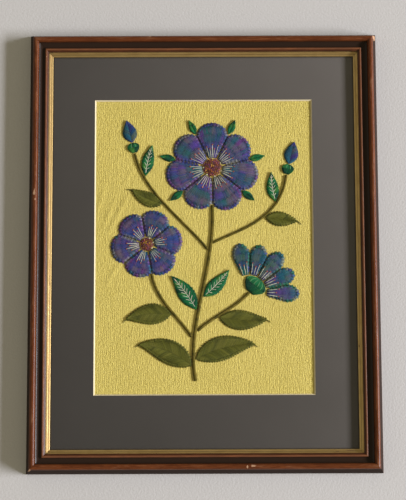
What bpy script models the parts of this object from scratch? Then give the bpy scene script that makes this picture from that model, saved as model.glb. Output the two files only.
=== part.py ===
"""Framed, glazed and mounted silk panel with a raised embroidered flower spray.

The picture lies on its back. +Z points at the viewer, +Y is the top of the
picture and +X its right side. The origin is under the middle of the frame, on
the plane of the frame's back. Lengths are in metres.
"""

import math
from collections import namedtuple

import bmesh
import bpy
from mathutils import Vector
from mathutils.geometry import interpolate_bezier

MM = 0.001
GAP = 0.3 * MM

# Frame moulding
FRAME_WIDTH = 405 * MM
FRAME_HEIGHT = 512 * MM
RAIL_WIDTH = 22.5 * MM
FOOT_HEIGHT = 1.2 * MM
SIDE_LEAN = 4.3 * MM
SIDE_TOP = 15.1 * MM
OUTER_BEAD_WIDTH = 6.5 * MM
OUTER_BEAD_BASE = 15.5 * MM
OUTER_BEAD_RISE = 3.0 * MM
HOLLOW_WIDTH = 7.2 * MM
HOLLOW_OUTER_EDGE = 15.0 * MM
HOLLOW_DEPTH = 1.7 * MM
INNER_BEAD_WIDTH = 2.6 * MM
INNER_BEAD_BASE = 13.4 * MM
INNER_BEAD_RISE = 1.1 * MM
SIGHT_EDGE = 12.6 * MM
OUTER_BEAD_STEPS = 6
HOLLOW_STEPS = 5
INNER_BEAD_STEPS = 4
REBATE_WIDTH = 6.0 * MM
REBATE_DEPTH = 12.0 * MM

# What lies in the rebate, from the back to the front
BACKING_THICKNESS = 2.6 * MM
SILK_THICKNESS = 1.1 * MM
MOUNT_THICKNESS = 1.4 * MM
SLIP_THICKNESS = 3.4 * MM
GLASS_THICKNESS = 2.0 * MM
SLIP_SHOWING = 4.7 * MM
SLIP_SIGHT_EDGE = 0.8 * MM

# Window of the mount, with its bevelled edge
WINDOW_WIDTH = 250 * MM
WINDOW_HEIGHT = 342 * MM
WINDOW_RISE = 5 * MM
BEVEL = 1.4 * MM

# Silk grid inside the window
SILK_COLUMNS = 28
SILK_ROWS = 40
SILK_CROWDING = 0.32
SILK_GRID_MARGIN = 4 * MM

# Heights of the padded embroidery above its back
EDGE_HEIGHT = 0.7 * MM
PETAL_CROWN = 2.2 * MM
PETAL_DIP = 0.2 * MM
LEAF_CROWN = 1.5 * MM
LEAF_DIP = 0.5 * MM
LEAF_TIP_LIFT = 0.9 * MM
STEM_RISE = 1.7 * MM
HEART_RISE = 2.8 * MM

# Sections and rings of the padded embroidery
CROWN_INSET = 0.55
PETAL_RINGS = 9
CUP_RINGS = 7
LEAF_RINGS = 9
ROUND_TIP_REACH = 0.972
LEAF_TIP_REACH = 0.985
STEM_SEGMENTS = 12
HEART_SIDES = 16

# Heights of the layers, each a gap above the one behind it
SILK_BACK = BACKING_THICKNESS + GAP
SILK_FRONT = SILK_BACK + SILK_THICKNESS
MOUNT_BACK = SILK_FRONT + GAP
MOUNT_FRONT = MOUNT_BACK + MOUNT_THICKNESS
SLIP_BACK = MOUNT_FRONT + GAP
GLASS_BACK = SLIP_BACK + SLIP_THICKNESS + GAP
STITCH_BASE = SILK_FRONT + GAP
REBATE_INSET = RAIL_WIDTH - REBATE_WIDTH
SHEET_WIDTH = FRAME_WIDTH - 2 * (REBATE_INSET + GAP)
SHEET_HEIGHT = FRAME_HEIGHT - 2 * (REBATE_INSET + GAP)

Finish = namedtuple("Finish", "name colour roughness metallic alpha")
MAHOGANY = Finish("mahogany", (0.165, 0.062, 0.030), 0.35, 0.0, 1.0)
GILT = Finish("gilt", (0.62, 0.45, 0.18), 0.38, 0.9, 1.0)
GLAZING = Finish("picture_glass", (0.95, 0.97, 0.96), 0.05, 0.0, 0.15)
MOUNT_BOARD = Finish("grey_mount_board", (0.085, 0.078, 0.072), 0.9, 0.0, 1.0)
YELLOW_SILK = Finish("yellow_silk", (0.62, 0.47, 0.12), 0.6, 0.0, 1.0)
HARDBOARD = Finish("hardboard", (0.23, 0.13, 0.07), 0.85, 0.0, 1.0)
BLUE_THREAD = Finish("blue_thread", (0.055, 0.075, 0.185), 0.55, 0.0, 1.0)
VIOLET_THREAD = Finish("violet_thread", (0.085, 0.06, 0.19), 0.55, 0.0, 1.0)
TEAL_THREAD = Finish("teal_thread", (0.03, 0.12, 0.14), 0.55, 0.0, 1.0)
EMERALD_THREAD = Finish("emerald_thread", (0.015, 0.115, 0.055), 0.55, 0.0, 1.0)
OLIVE_THREAD = Finish("olive_thread", (0.10, 0.095, 0.022), 0.6, 0.0, 1.0)
ORANGE_THREAD = Finish("orange_thread", (0.42, 0.16, 0.07), 0.6, 0.0, 1.0)

# Ribs of the gilt slip: inset from the rail's sight edge, and drop below its top
Rib = namedtuple("Rib", "inset drop")
SLIP_RIBS = (
    Rib(0.4 * MM, 0.0),
    Rib(1.7 * MM, 0.45 * MM),
    Rib(2.2 * MM, 1.25 * MM),
    Rib(2.7 * MM, 1.05 * MM),
    Rib(3.9 * MM, 1.70 * MM),
)

# Puckers of the silk: middle and size in millimetres from the window's middle
Pucker = namedtuple("Pucker", "x y heading length width rise")
PUCKERS = (
    Pucker(x=-110, y=66, heading=64, length=96, width=20, rise=0.45),
    Pucker(x=-112, y=28, heading=70, length=84, width=18, rise=0.40),
    Pucker(x=-84, y=64, heading=66, length=70, width=18, rise=0.35),
    Pucker(x=-108, y=-52, heading=58, length=52, width=18, rise=0.30),
    Pucker(x=96, y=136, heading=4, length=60, width=18, rise=0.25),
)

# Open blooms: middle and sizes in millimetres from the window's middle. Sepals stand
# in the gaps between the petals, but for the one at the foot, where the stem ends
Bloom = namedtuple("Bloom", "name x y petals radius heart first sepals finish")
BLOOMS = (
    Bloom("high_bloom", 10, 92, 7, 54, 11, 90, True, BLUE_THREAD),
    Bloom("left_bloom", -66, 2, 6, 41, 8, 70, False, VIOLET_THREAD),
)
PIECE_GAP = 0.6
PETAL_PARTING = 0.35
PETAL_SHOULDER = 0.62
PETAL_WAIST = 0.90
PETAL_PLAY = 0.035
PETAL_PLAY_STEP = 2.4
SEPAL_INSET = 9.5
SEPAL_LENGTH = 18
SEPAL_WIDTH = 8
FOOT_HEADING = 270

# Fan bloom, seen from its side: foot of its cup in millimetres from the window's middle
FAN_X = 52
FAN_Y = -54
FAN_HEADING = 50
FAN_PETALS = 5
FAN_STEP = 26
FAN_RADIUS = 58
FAN_ROOT = 20
FAN_CUP_WIDTH = 27

# Buds, by the foot of the cup that each stands in
Bud = namedtuple("Bud", "name x y heading finish")
BUDS = (
    Bud("left_bud", -80, 110, 104, TEAL_THREAD),
    Bud("right_bud", 96, 84, 76, VIOLET_THREAD),
)
BUD_LENGTH = 27
BUD_WIDTH = 16
CUP_LENGTH = 12
CUP_WIDTH = 14

# The main stem, by the four points of its curve in millimetres from the window's middle
Stem = namedtuple("Stem", "name start pull_start pull_end end width")
MAIN_STEM = Stem("main_stem", (-10, -156), (-22, -92), (14, -26), (10, 47.5), 3.4)

# Side stems. along is the share of the main stem below them, side is 1 on its left
# and -1 on its right, splay the angle between them in degrees
SideStem = namedtuple("SideStem", "name along side splay pull pull_end end width")
SIDE_STEMS = (
    SideStem("left_stem", 0.26, 1, 40, 30, (-54.6, -64), (-60.2, -32.6), 2.8),
    SideStem("right_stem", 0.30, -1, 38, 22, (37, -72), (51.2, -54.9), 2.8),
    SideStem("left_bud_stem", 0.76, 1, 44, 40, (-70, 62), (-79.8, 109), 2.4),
    SideStem("right_bud_stem", 0.80, -1, 56, 34, (90, 30), (95.8, 83), 2.4),
)

# Leaves, each on a stem, with its length, width and bend in millimetres and degrees
Leaf = namedtuple("Leaf", "name stem along side splay length width bend finish")
LEAVES = (
    Leaf("foot_leaf_left", "main_stem", 0.09, 1, 46, 66, 26, 36, OLIVE_THREAD),
    Leaf("foot_leaf_right", "main_stem", 0.13, -1, 60, 70, 26, 30, OLIVE_THREAD),
    Leaf("low_leaf_left", "left_stem", 0.40, 1, 42, 52, 22, 24, OLIVE_THREAD),
    Leaf("low_leaf_right", "right_stem", 0.40, -1, 44, 54, 21, -16, OLIVE_THREAD),
    Leaf("middle_leaf_left", "main_stem", 0.42, 1, 40, 48, 19, 14, EMERALD_THREAD),
    Leaf("middle_leaf_right", "main_stem", 0.50, -1, 40, 42, 16, -14, EMERALD_THREAD),
    Leaf("bud_leaf_low_left", "left_bud_stem", 0.54, 1, 38, 38, 15, -26, OLIVE_THREAD),
    Leaf("bud_leaf_high_left", "left_bud_stem", 0.80, -1, 34, 36, 14, 14, EMERALD_THREAD),
    Leaf("bud_leaf_low_right", "right_bud_stem", 0.58, -1, 44, 36, 15, 0, OLIVE_THREAD),
    Leaf("bud_leaf_high_right", "right_bud_stem", 0.76, 1, 46, 34, 14, -16, EMERALD_THREAD),
)
LEAF_STALK = 1.8


def new_finish(finish):
    """Returns a material with the colour, roughness and metallic value of a finish."""
    material = bpy.data.materials.new(finish.name)
    material.use_nodes = True
    shader = material.node_tree.nodes["Principled BSDF"]
    shader.inputs["Base Color"].default_value = (*finish.colour, 1.0)
    shader.inputs["Roughness"].default_value = finish.roughness
    shader.inputs["Metallic"].default_value = finish.metallic
    shader.inputs["Alpha"].default_value = finish.alpha
    material.diffuse_color = (*finish.colour, finish.alpha)
    return material


def place(name, mesh, finish, smooth=False):
    """Turns a bmesh into a named object with its faces pointing out."""
    bmesh.ops.recalc_face_normals(mesh, faces=mesh.faces[:])
    data = bpy.data.meshes.new(name)
    mesh.to_mesh(data)
    mesh.free()
    if smooth:
        data.shade_smooth()
    data.materials.append(new_finish(finish))
    piece = bpy.data.objects.new(name, data)
    bpy.context.scene.collection.objects.link(piece)
    return piece


def loft(name, rings, finish, smooth=False):
    """Extrudes the first ring of points through the others into one closed body."""
    mesh = bmesh.new()
    face = mesh.faces.new([mesh.verts.new(point) for point in rings[0]])
    for ring in rings[1:]:
        grown = bmesh.ops.extrude_discrete_faces(mesh, faces=[face])
        face = grown["faces"][0]
        for vert, point in zip(face.verts, ring):
            vert.co = point
    open_end = [edge for edge in mesh.edges if edge.is_boundary]
    bmesh.ops.contextual_create(mesh, geom=open_end)
    return place(name, mesh, finish, smooth)


def block(name, width, height, back, front, finish):
    """Makes a flat board that lies between two heights, centred on the frame."""
    mesh = bmesh.new()
    bmesh.ops.create_cube(mesh, size=1.0)
    bmesh.ops.scale(mesh, vec=(width, height, front - back), verts=mesh.verts)
    bmesh.ops.translate(mesh, vec=(0, 0, (front + back) / 2), verts=mesh.verts)
    return place(name, mesh, finish)


def swell(start, end, rise, steps):
    """Returns points of a rounded bead between two points, or of a hollow where rise is negative."""
    points = []
    for step in range(steps + 1):
        angle = math.pi * step / steps
        share = (1 - math.cos(angle)) / 2
        inset = start[0] + (end[0] - start[0]) * share
        height = start[1] + (end[1] - start[1]) * share
        points.append((inset, height + rise * math.sin(angle)))
    return points


def rail_profile():
    """Section of a rail: inset from the frame's outer side, and height."""
    hollow_start = SIDE_LEAN + OUTER_BEAD_WIDTH
    inner_start = hollow_start + HOLLOW_WIDTH
    inner_end = inner_start + INNER_BEAD_WIDTH
    outer_bead = ((SIDE_LEAN, OUTER_BEAD_BASE), (hollow_start, OUTER_BEAD_BASE))
    hollow = ((hollow_start, HOLLOW_OUTER_EDGE), (inner_start, INNER_BEAD_BASE))
    inner_bead = ((inner_start, INNER_BEAD_BASE), (inner_end, INNER_BEAD_BASE))
    profile = [(0, 0), (0, FOOT_HEIGHT), (SIDE_LEAN, SIDE_TOP)]
    profile += swell(*outer_bead, OUTER_BEAD_RISE, OUTER_BEAD_STEPS)
    profile += swell(*hollow, -HOLLOW_DEPTH, HOLLOW_STEPS)
    profile += swell(*inner_bead, INNER_BEAD_RISE, INNER_BEAD_STEPS)[1:]
    profile += [(RAIL_WIDTH, SIGHT_EDGE), (RAIL_WIDTH, REBATE_DEPTH)]
    profile += [(REBATE_INSET, REBATE_DEPTH), (REBATE_INSET, 0)]
    return profile


def slip_profile():
    """Section of a gilt slip: ribs that step down towards the mount."""
    outer = REBATE_INSET + GAP
    sight = RAIL_WIDTH + SLIP_SHOWING
    top = SLIP_BACK + SLIP_THICKNESS
    profile = [(outer, SLIP_BACK), (outer, top)]
    profile += [(RAIL_WIDTH + rib.inset, top - rib.drop) for rib in SLIP_RIBS]
    profile += [(sight, SLIP_BACK + SLIP_SIGHT_EDGE), (sight, SLIP_BACK)]
    return profile


def mitred_side(name, side, profile, finish):
    """Makes one of four mitred lengths. side counts quarter turns from the bottom one."""
    along_x = side % 2 == 0
    half_run = (FRAME_WIDTH if along_x else FRAME_HEIGHT) / 2
    half_span = (FRAME_HEIGHT if along_x else FRAME_WIDTH) / 2
    mitre_gap = GAP / math.sqrt(2)
    quarter = math.pi / 2 * side
    turn_x = Vector((math.cos(quarter), math.sin(quarter), 0))
    turn_y = Vector((-math.sin(quarter), math.cos(quarter), 0))
    rings = []
    for end in (-1, 1):
        ring = []
        for inset, height in profile:
            run = end * (half_run - inset - mitre_gap)
            ring.append(turn_x * run + turn_y * (inset - half_span) + Vector((0, 0, height)))
        rings.append(ring)
    return loft(name, rings, finish)


def make_mount():
    """Makes the mount board with a window whose edge is cut at 45 degrees."""
    mesh = bmesh.new()
    bmesh.ops.create_grid(mesh, x_segments=3, y_segments=3, size=1.0)
    window = [face for face in mesh.faces if face.calc_center_median().length < 0.1]
    bmesh.ops.delete(mesh, geom=window, context="FACES")
    backs = set(mesh.verts)
    bmesh.ops.extrude_face_region(mesh, geom=mesh.faces[:])
    for vert in mesh.verts:
        at_back = vert in backs
        opening_x = WINDOW_WIDTH / 2 + (0 if at_back else BEVEL)
        opening_y = WINDOW_HEIGHT / 2 + (0 if at_back else BEVEL)
        half_x = SHEET_WIDTH / 2 if abs(vert.co.x) > 0.9 else opening_x
        half_y = SHEET_HEIGHT / 2 if abs(vert.co.y) > 0.9 else opening_y
        rise = 0 if abs(vert.co.y) > 0.9 else WINDOW_RISE
        y = math.copysign(half_y, vert.co.y) + rise
        vert.co = (math.copysign(half_x, vert.co.x), y, MOUNT_BACK if at_back else MOUNT_FRONT)
    return place("mount_board", mesh, MOUNT_BOARD)


def silk_rise(x, y):
    """Height of the puckers at a point, in metres from the window's middle."""
    rise = 0.0
    for pucker in PUCKERS:
        heading = math.radians(pucker.heading)
        offset_x = x - pucker.x * MM
        offset_y = y - pucker.y * MM
        along = (offset_x * math.cos(heading) + offset_y * math.sin(heading)) / (pucker.length * MM)
        across = (offset_y * math.cos(heading) - offset_x * math.sin(heading)) / (pucker.width * MM)
        if abs(along) < 0.5 and abs(across) < 0.5:
            swell = math.cos(math.pi * along) * math.cos(math.pi * across)
            rise = max(rise, pucker.rise * MM * swell ** 2)
    return rise


def make_silk():
    """Makes the silk sheet: puckered inside the window, flat under the mount.

    The columns of its grid are closer together on the left, where it is puckered.
    """
    half_x = WINDOW_WIDTH / 2 + SILK_GRID_MARGIN
    half_y = WINDOW_HEIGHT / 2 + SILK_GRID_MARGIN
    mesh = bmesh.new()
    bmesh.ops.create_grid(mesh, x_segments=SILK_COLUMNS, y_segments=SILK_ROWS, size=1.0)
    for vert in mesh.verts:
        x = half_x * (vert.co.x - SILK_CROWDING * (1 - vert.co.x ** 2))
        y = half_y * vert.co.y
        inside = abs(x) < WINDOW_WIDTH / 2 and abs(y) < WINDOW_HEIGHT / 2
        rise = silk_rise(x, y) if inside else 0.0
        vert.co = (x, y + WINDOW_RISE, SILK_FRONT + rise)
    rim = [edge for edge in mesh.edges if edge.is_boundary]
    grown = bmesh.ops.extrude_edge_only(mesh, edges=rim)
    for vert in (part for part in grown["geom"] if isinstance(part, bmesh.types.BMVert)):
        if abs(abs(vert.co.x) - half_x) < GAP:
            vert.co.x = math.copysign(SHEET_WIDTH / 2, vert.co.x)
        if abs(abs(vert.co.y - WINDOW_RISE) - half_y) < GAP:
            vert.co.y = math.copysign(SHEET_HEIGHT / 2, vert.co.y)
    rim = [part for part in grown["geom"] if isinstance(part, bmesh.types.BMEdge)]
    grown = bmesh.ops.extrude_edge_only(mesh, edges=rim)
    for vert in (part for part in grown["geom"] if isinstance(part, bmesh.types.BMVert)):
        vert.co.z = SILK_BACK
    rim = [part for part in grown["geom"] if isinstance(part, bmesh.types.BMEdge)]
    bmesh.ops.contextual_create(mesh, geom=rim)
    return place("silk_ground", mesh, YELLOW_SILK)


def on_silk(x, y, z):
    """Turns millimetres from the window's middle into a point of the frame."""
    return Vector((x * MM, y * MM + WINDOW_RISE, STITCH_BASE + z))


def padded_section(half_width, crown, dip):
    """Section of a padded shape: across in millimetres, height in metres."""
    inset = CROWN_INSET * half_width
    return (
        (-half_width, 0.0),
        (-half_width, EDGE_HEIGHT),
        (-inset, crown),
        (0.0, crown - dip),
        (inset, crown),
        (half_width, EDGE_HEIGHT),
        (half_width, 0.0),
    )


def padded_shape(name, x, y, heading, stations, bend, finish):
    """Lofts a padded shape along a bending line.

    stations holds rows of distance, half width, crown, dip and lift. Distances
    and half widths are in millimetres, heights in metres.
    """
    length = stations[-1][0]
    rings = []
    place_x, place_y, reached = x, y, 0.0
    for distance, half_width, crown, dip, lift in stations:
        angle = math.radians(heading + bend * distance / length)
        place_x += (distance - reached) * math.cos(angle)
        place_y += (distance - reached) * math.sin(angle)
        reached = distance
        ring = []
        for across, height in padded_section(half_width, crown, dip):
            ring_x = place_x - across * math.sin(angle)
            ring_y = place_y + across * math.cos(angle)
            ring.append(on_silk(ring_x, ring_y, height + lift))
        rings.append(ring)
    return loft(name, rings, finish, smooth=True)


def round_tip_shares(rings):
    """Shares of a length that crowd together towards a round tip."""
    quarter = math.pi / 2 * ROUND_TIP_REACH
    return [math.sin(quarter * ring / (rings - 1)) for ring in range(rings)]


def petal_crown(share):
    """Height of a petal's or cup's crown at a share of its length."""
    swell = math.sin(math.pi * (0.1 + 0.9 * share)) ** 0.6
    return EDGE_HEIGHT + (PETAL_CROWN - EDGE_HEIGHT) * swell


def petal_stations(root, length, half_step):
    """Stations of a petal that fans out from a middle and has a round tip."""
    slope = math.tan(math.radians(half_step))
    widest = (root + PETAL_SHOULDER * length) * slope - PETAL_PARTING
    stations = []
    for share in round_tip_shares(PETAL_RINGS):
        if share < PETAL_SHOULDER:
            waist = PETAL_WAIST + (1 - PETAL_WAIST) * share / PETAL_SHOULDER
            half_width = ((root + share * length) * slope - PETAL_PARTING) * waist
        else:
            round_off = (share - PETAL_SHOULDER) / (1 - PETAL_SHOULDER)
            half_width = widest * math.sqrt(1 - round_off ** 2)
        stations.append((length * share, half_width, petal_crown(share), PETAL_DIP, 0.0))
    return stations


def cup_stations(length, width):
    """Stations of a green cup: narrow where the stem meets it, broad near its rim."""
    stations = []
    for share in round_tip_shares(CUP_RINGS):
        half_width = width / 2 * math.sin(math.pi * (0.22 + 0.78 * share) ** 1.7) ** 0.7
        stations.append((length * share, half_width, petal_crown(share), PETAL_DIP, 0.0))
    return stations


def leaf_stations(length, width):
    """Stations of a leaf: pointed, with a sunk midrib and a lifted tip."""
    stations = []
    for ring in range(LEAF_RINGS):
        share = LEAF_TIP_REACH * ring / (LEAF_RINGS - 1)
        swell = math.sin(math.pi * share ** 0.8)
        half_width = max(width / 2 * swell, LEAF_STALK / 2 * (1 - 0.6 * share))
        crown = EDGE_HEIGHT + (LEAF_CROWN - EDGE_HEIGHT) * swell
        lift = LEAF_TIP_LIFT * share ** 4
        stations.append((length * share, half_width, crown, LEAF_DIP * swell, lift))
    return stations


def heart_rings(x, y, radius):
    """Rings of a bloom's low round heart, from its foot to its top."""
    rings = []
    for share, height in ((1.0, 0.0), (1.0, 0.3), (0.82, 0.75), (0.45, 1.0)):
        ring = []
        for side in range(HEART_SIDES):
            angle = 2 * math.pi * side / HEART_SIDES
            ring_x = x + radius * share * math.cos(angle)
            ring_y = y + radius * share * math.sin(angle)
            ring.append(on_silk(ring_x, ring_y, height * HEART_RISE))
        rings.append(ring)
    return rings


def ahead_of(x, y, heading, distance):
    """Returns the point at a distance along a heading in degrees."""
    angle = math.radians(heading)
    return x + distance * math.cos(angle), y + distance * math.sin(angle)


def make_petals(name, x, y, headings, root, radius, finish):
    """Makes petals that fan out from a point, each a little longer or shorter."""
    half_step = (headings[1] - headings[0]) / 2
    for index, heading in enumerate(headings):
        shorter = PETAL_PLAY * (1 + math.sin(PETAL_PLAY_STEP * index))
        length = (radius - root) * (1 - shorter)
        start_x, start_y = ahead_of(x, y, heading, root)
        stations = petal_stations(root, length, half_step)
        padded_shape(f"{name}_petal_{index + 1}", start_x, start_y, heading, stations, 0, finish)


def make_sepals(bloom, headings):
    """Makes the green points between the petals, but for the gap at the foot."""
    half_step = (headings[1] - headings[0]) / 2
    gaps = [heading + half_step for heading in headings]
    gaps = [gap for gap in gaps if abs(gap - FOOT_HEADING) > half_step]
    stations = leaf_stations(SEPAL_LENGTH, SEPAL_WIDTH)
    for index, gap in enumerate(gaps):
        start_x, start_y = ahead_of(bloom.x, bloom.y, gap, bloom.radius - SEPAL_INSET)
        padded_shape(f"sepal_{index + 1}", start_x, start_y, gap, stations, 0, EMERALD_THREAD)


def make_bloom(bloom):
    """Makes the petals of an open bloom around its padded heart."""
    headings = [bloom.first + 360 / bloom.petals * index for index in range(bloom.petals)]
    root = bloom.heart + PIECE_GAP
    make_petals(bloom.name, bloom.x, bloom.y, headings, root, bloom.radius, bloom.finish)
    if bloom.sepals:
        make_sepals(bloom, headings)
    heart = heart_rings(bloom.x, bloom.y, bloom.heart)
    loft(f"{bloom.name}_heart", heart, ORANGE_THREAD, smooth=True)


def make_fan():
    """Makes the side-on bloom: petals spread like a fan over a green cup."""
    headings = [FAN_HEADING + FAN_STEP * (index - (FAN_PETALS - 1) / 2) for index in range(FAN_PETALS)]
    make_petals("fan", FAN_X, FAN_Y, headings, FAN_ROOT, FAN_RADIUS, TEAL_THREAD)
    cup = cup_stations(FAN_ROOT - PIECE_GAP, FAN_CUP_WIDTH)
    padded_shape("fan_cup", FAN_X, FAN_Y, FAN_HEADING, cup, 0, EMERALD_THREAD)


def make_bud(bud):
    """Makes a closed bud and the green cup that it stands in."""
    cup = cup_stations(CUP_LENGTH, CUP_WIDTH)
    padded_shape(f"{bud.name}_cup", bud.x, bud.y, bud.heading, cup, 0, EMERALD_THREAD)
    root_x, root_y = ahead_of(bud.x, bud.y, bud.heading, CUP_LENGTH + PIECE_GAP)
    body = leaf_stations(BUD_LENGTH, BUD_WIDTH)
    padded_shape(bud.name, root_x, root_y, bud.heading, body, 0, bud.finish)


def stem_line(stem):
    """Returns the points of a stem's curve, in millimetres from the window's middle."""
    points = [Vector((*point, 0)) for point in (stem.start, stem.pull_start, stem.pull_end, stem.end)]
    return interpolate_bezier(*points, STEM_SEGMENTS + 1)


def branch_point(stem, along, side, splay, half_width):
    """Returns the root and heading of what grows from a stem, clear of its side."""
    line = stem_line(stem)
    place_on = along * STEM_SEGMENTS
    index = int(place_on)
    step = line[index + 1] - line[index]
    spot = line[index] + step * (place_on - index)
    heading = math.degrees(math.atan2(step.y, step.x))
    clear = stem.width / 2 + PIECE_GAP + half_width * math.cos(math.radians(splay))
    root_x, root_y = ahead_of(spot.x, spot.y, heading + side * 90, clear)
    return root_x, root_y, heading + side * splay


def grow_stem(side_stem):
    """Turns a row of side stems into a stem whose curve leaves the main stem."""
    half_width = side_stem.width / 2
    x, y, heading = branch_point(
        MAIN_STEM, side_stem.along, side_stem.side, side_stem.splay, half_width
    )
    pull_start = ahead_of(x, y, heading, side_stem.pull)
    return Stem(side_stem.name, (x, y), pull_start, side_stem.pull_end, side_stem.end, side_stem.width)


def make_stem(stem):
    """Lofts a half-round wrapped stem along its curve."""
    line = stem_line(stem)
    section = ((-1, 0.0), (-1, 0.35), (-0.5, 1.0), (0.5, 1.0), (1, 0.35), (1, 0.0))
    rings = []
    for index, point in enumerate(line):
        ahead = line[min(index + 1, STEM_SEGMENTS)] - line[max(index - 1, 0)]
        side = Vector((-ahead.y, ahead.x, 0)).normalized() * stem.width / 2
        ring = []
        for across, height in section:
            spot = point + side * across
            ring.append(on_silk(spot.x, spot.y, height * STEM_RISE))
        rings.append(ring)
    return loft(stem.name, rings, OLIVE_THREAD, smooth=True)


def make_leaf(leaf, stems):
    """Makes a leaf that grows from one of the stems."""
    x, y, heading = branch_point(stems[leaf.stem], leaf.along, leaf.side, leaf.splay, LEAF_STALK / 2)
    stations = leaf_stations(leaf.length, leaf.width)
    padded_shape(leaf.name, x, y, heading, stations, leaf.side * leaf.bend, leaf.finish)


def main():
    """Clears the scene and makes every piece."""
    for old in list(bpy.data.objects):
        bpy.data.objects.remove(old, do_unlink=True)
    for side, name in enumerate(("bottom", "right", "top", "left")):
        mitred_side(f"rail_{name}", side, rail_profile(), MAHOGANY)
        mitred_side(f"slip_{name}", side, slip_profile(), GILT)
    block("backing_board", SHEET_WIDTH, SHEET_HEIGHT, 0, BACKING_THICKNESS, HARDBOARD)
    block("glass", SHEET_WIDTH, SHEET_HEIGHT, GLASS_BACK, GLASS_BACK + GLASS_THICKNESS, GLAZING)
    make_silk()
    make_mount()
    for bloom in BLOOMS:
        make_bloom(bloom)
    make_fan()
    for bud in BUDS:
        make_bud(bud)
    stems = {stem.name: stem for stem in (MAIN_STEM, *map(grow_stem, SIDE_STEMS))}
    for stem in stems.values():
        make_stem(stem)
    for leaf in LEAVES:
        make_leaf(leaf, stems)


main()
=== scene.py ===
"""Looks of a framed, mounted and glazed silk panel with a raised embroidered spray.

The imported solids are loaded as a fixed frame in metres. The picture lies on its
back: +Z points at the viewer, +Y is its top and +X its right side. Plain solids
of the mouldings, the mount, the silk and the embroidery are replaced by finer
pieces of the same places and sizes. Embroidery is laid out in millimetres from
the middle of the mount's window, as its solids are.
"""

import logging
import math
import random
from dataclasses import dataclass, field
from enum import Enum
from typing import Sequence

import bmesh
import bpy
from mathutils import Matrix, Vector, noise
from mathutils.geometry import interpolate_bezier


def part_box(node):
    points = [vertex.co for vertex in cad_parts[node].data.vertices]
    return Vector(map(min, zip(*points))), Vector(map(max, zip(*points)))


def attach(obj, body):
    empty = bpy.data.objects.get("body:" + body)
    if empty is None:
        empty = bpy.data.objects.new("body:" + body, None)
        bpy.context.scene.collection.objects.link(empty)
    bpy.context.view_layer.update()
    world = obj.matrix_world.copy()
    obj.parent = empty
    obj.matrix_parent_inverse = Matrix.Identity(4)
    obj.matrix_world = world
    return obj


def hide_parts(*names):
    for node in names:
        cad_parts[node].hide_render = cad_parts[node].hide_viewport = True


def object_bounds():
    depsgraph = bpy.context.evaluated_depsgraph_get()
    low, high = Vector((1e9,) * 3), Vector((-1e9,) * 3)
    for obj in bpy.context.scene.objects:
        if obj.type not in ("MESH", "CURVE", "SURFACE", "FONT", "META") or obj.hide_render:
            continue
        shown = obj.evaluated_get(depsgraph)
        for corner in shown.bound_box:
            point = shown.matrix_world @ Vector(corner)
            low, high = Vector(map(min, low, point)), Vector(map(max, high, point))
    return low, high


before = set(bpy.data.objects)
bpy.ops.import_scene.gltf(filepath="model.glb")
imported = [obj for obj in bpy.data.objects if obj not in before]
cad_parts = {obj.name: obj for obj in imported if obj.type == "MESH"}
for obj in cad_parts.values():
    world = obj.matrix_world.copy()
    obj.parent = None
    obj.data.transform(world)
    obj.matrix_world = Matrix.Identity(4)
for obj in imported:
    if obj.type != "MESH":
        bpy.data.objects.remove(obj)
CAD_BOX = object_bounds()

LOG = logging.getLogger("framed_silk")
MM = 0.001
BODY = "root"
UP = Vector((0, 0, 1))

# Sizes shared by several pieces, in metres and then in millimetres
FRAME_WIDTH = CAD_BOX[1].x - CAD_BOX[0].x
FRAME_HEIGHT = CAD_BOX[1].y - CAD_BOX[0].y
WINDOW_WIDTH = 250 * MM
WINDOW_HEIGHT = 342 * MM
WINDOW_RISE = 5 * MM
SILK_FRONT = 4.0 * MM
STITCH_BASE = 4.3 * MM
PIECE_GAP = 0.6
LEAF_STALK = 1.8

# Shares of a thread's run at which it is bent
PARTS = tuple(index / 5 for index in range(6))

Colour = tuple[float, float, float]
Point = tuple[float, float]


def srgb(red: float, green: float, blue: float) -> Colour:
    """Turns a colour as seen, 0 to 255, into the linear values that shaders use."""
    shares = (value / 255 for value in (red, green, blue))
    return tuple(s / 12.92 if s < 0.04045 else ((s + 0.055) / 1.055) ** 2.4 for s in shares)


def dyed(*rows: tuple[int, int, int]) -> tuple[Colour, ...]:
    """Returns the linear values of several colours as seen."""
    return tuple(srgb(*row) for row in rows)


def blend(first: Sequence[float], second: Sequence[float], share: float) -> tuple[float, ...]:
    """Returns what lies at a share of the way from one row of numbers to another."""
    return tuple(a + (b - a) * share for a, b in zip(first, second))


def lit(colour: Sequence[float], bright: float) -> tuple[float, ...]:
    """Returns a colour made brighter or darker."""
    return tuple(value * bright for value in colour)


def limit(value: float, low: float = 0.0, high: float = 1.0) -> float:
    """Returns a value kept between two others."""
    return min(max(value, low), high)


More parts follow.
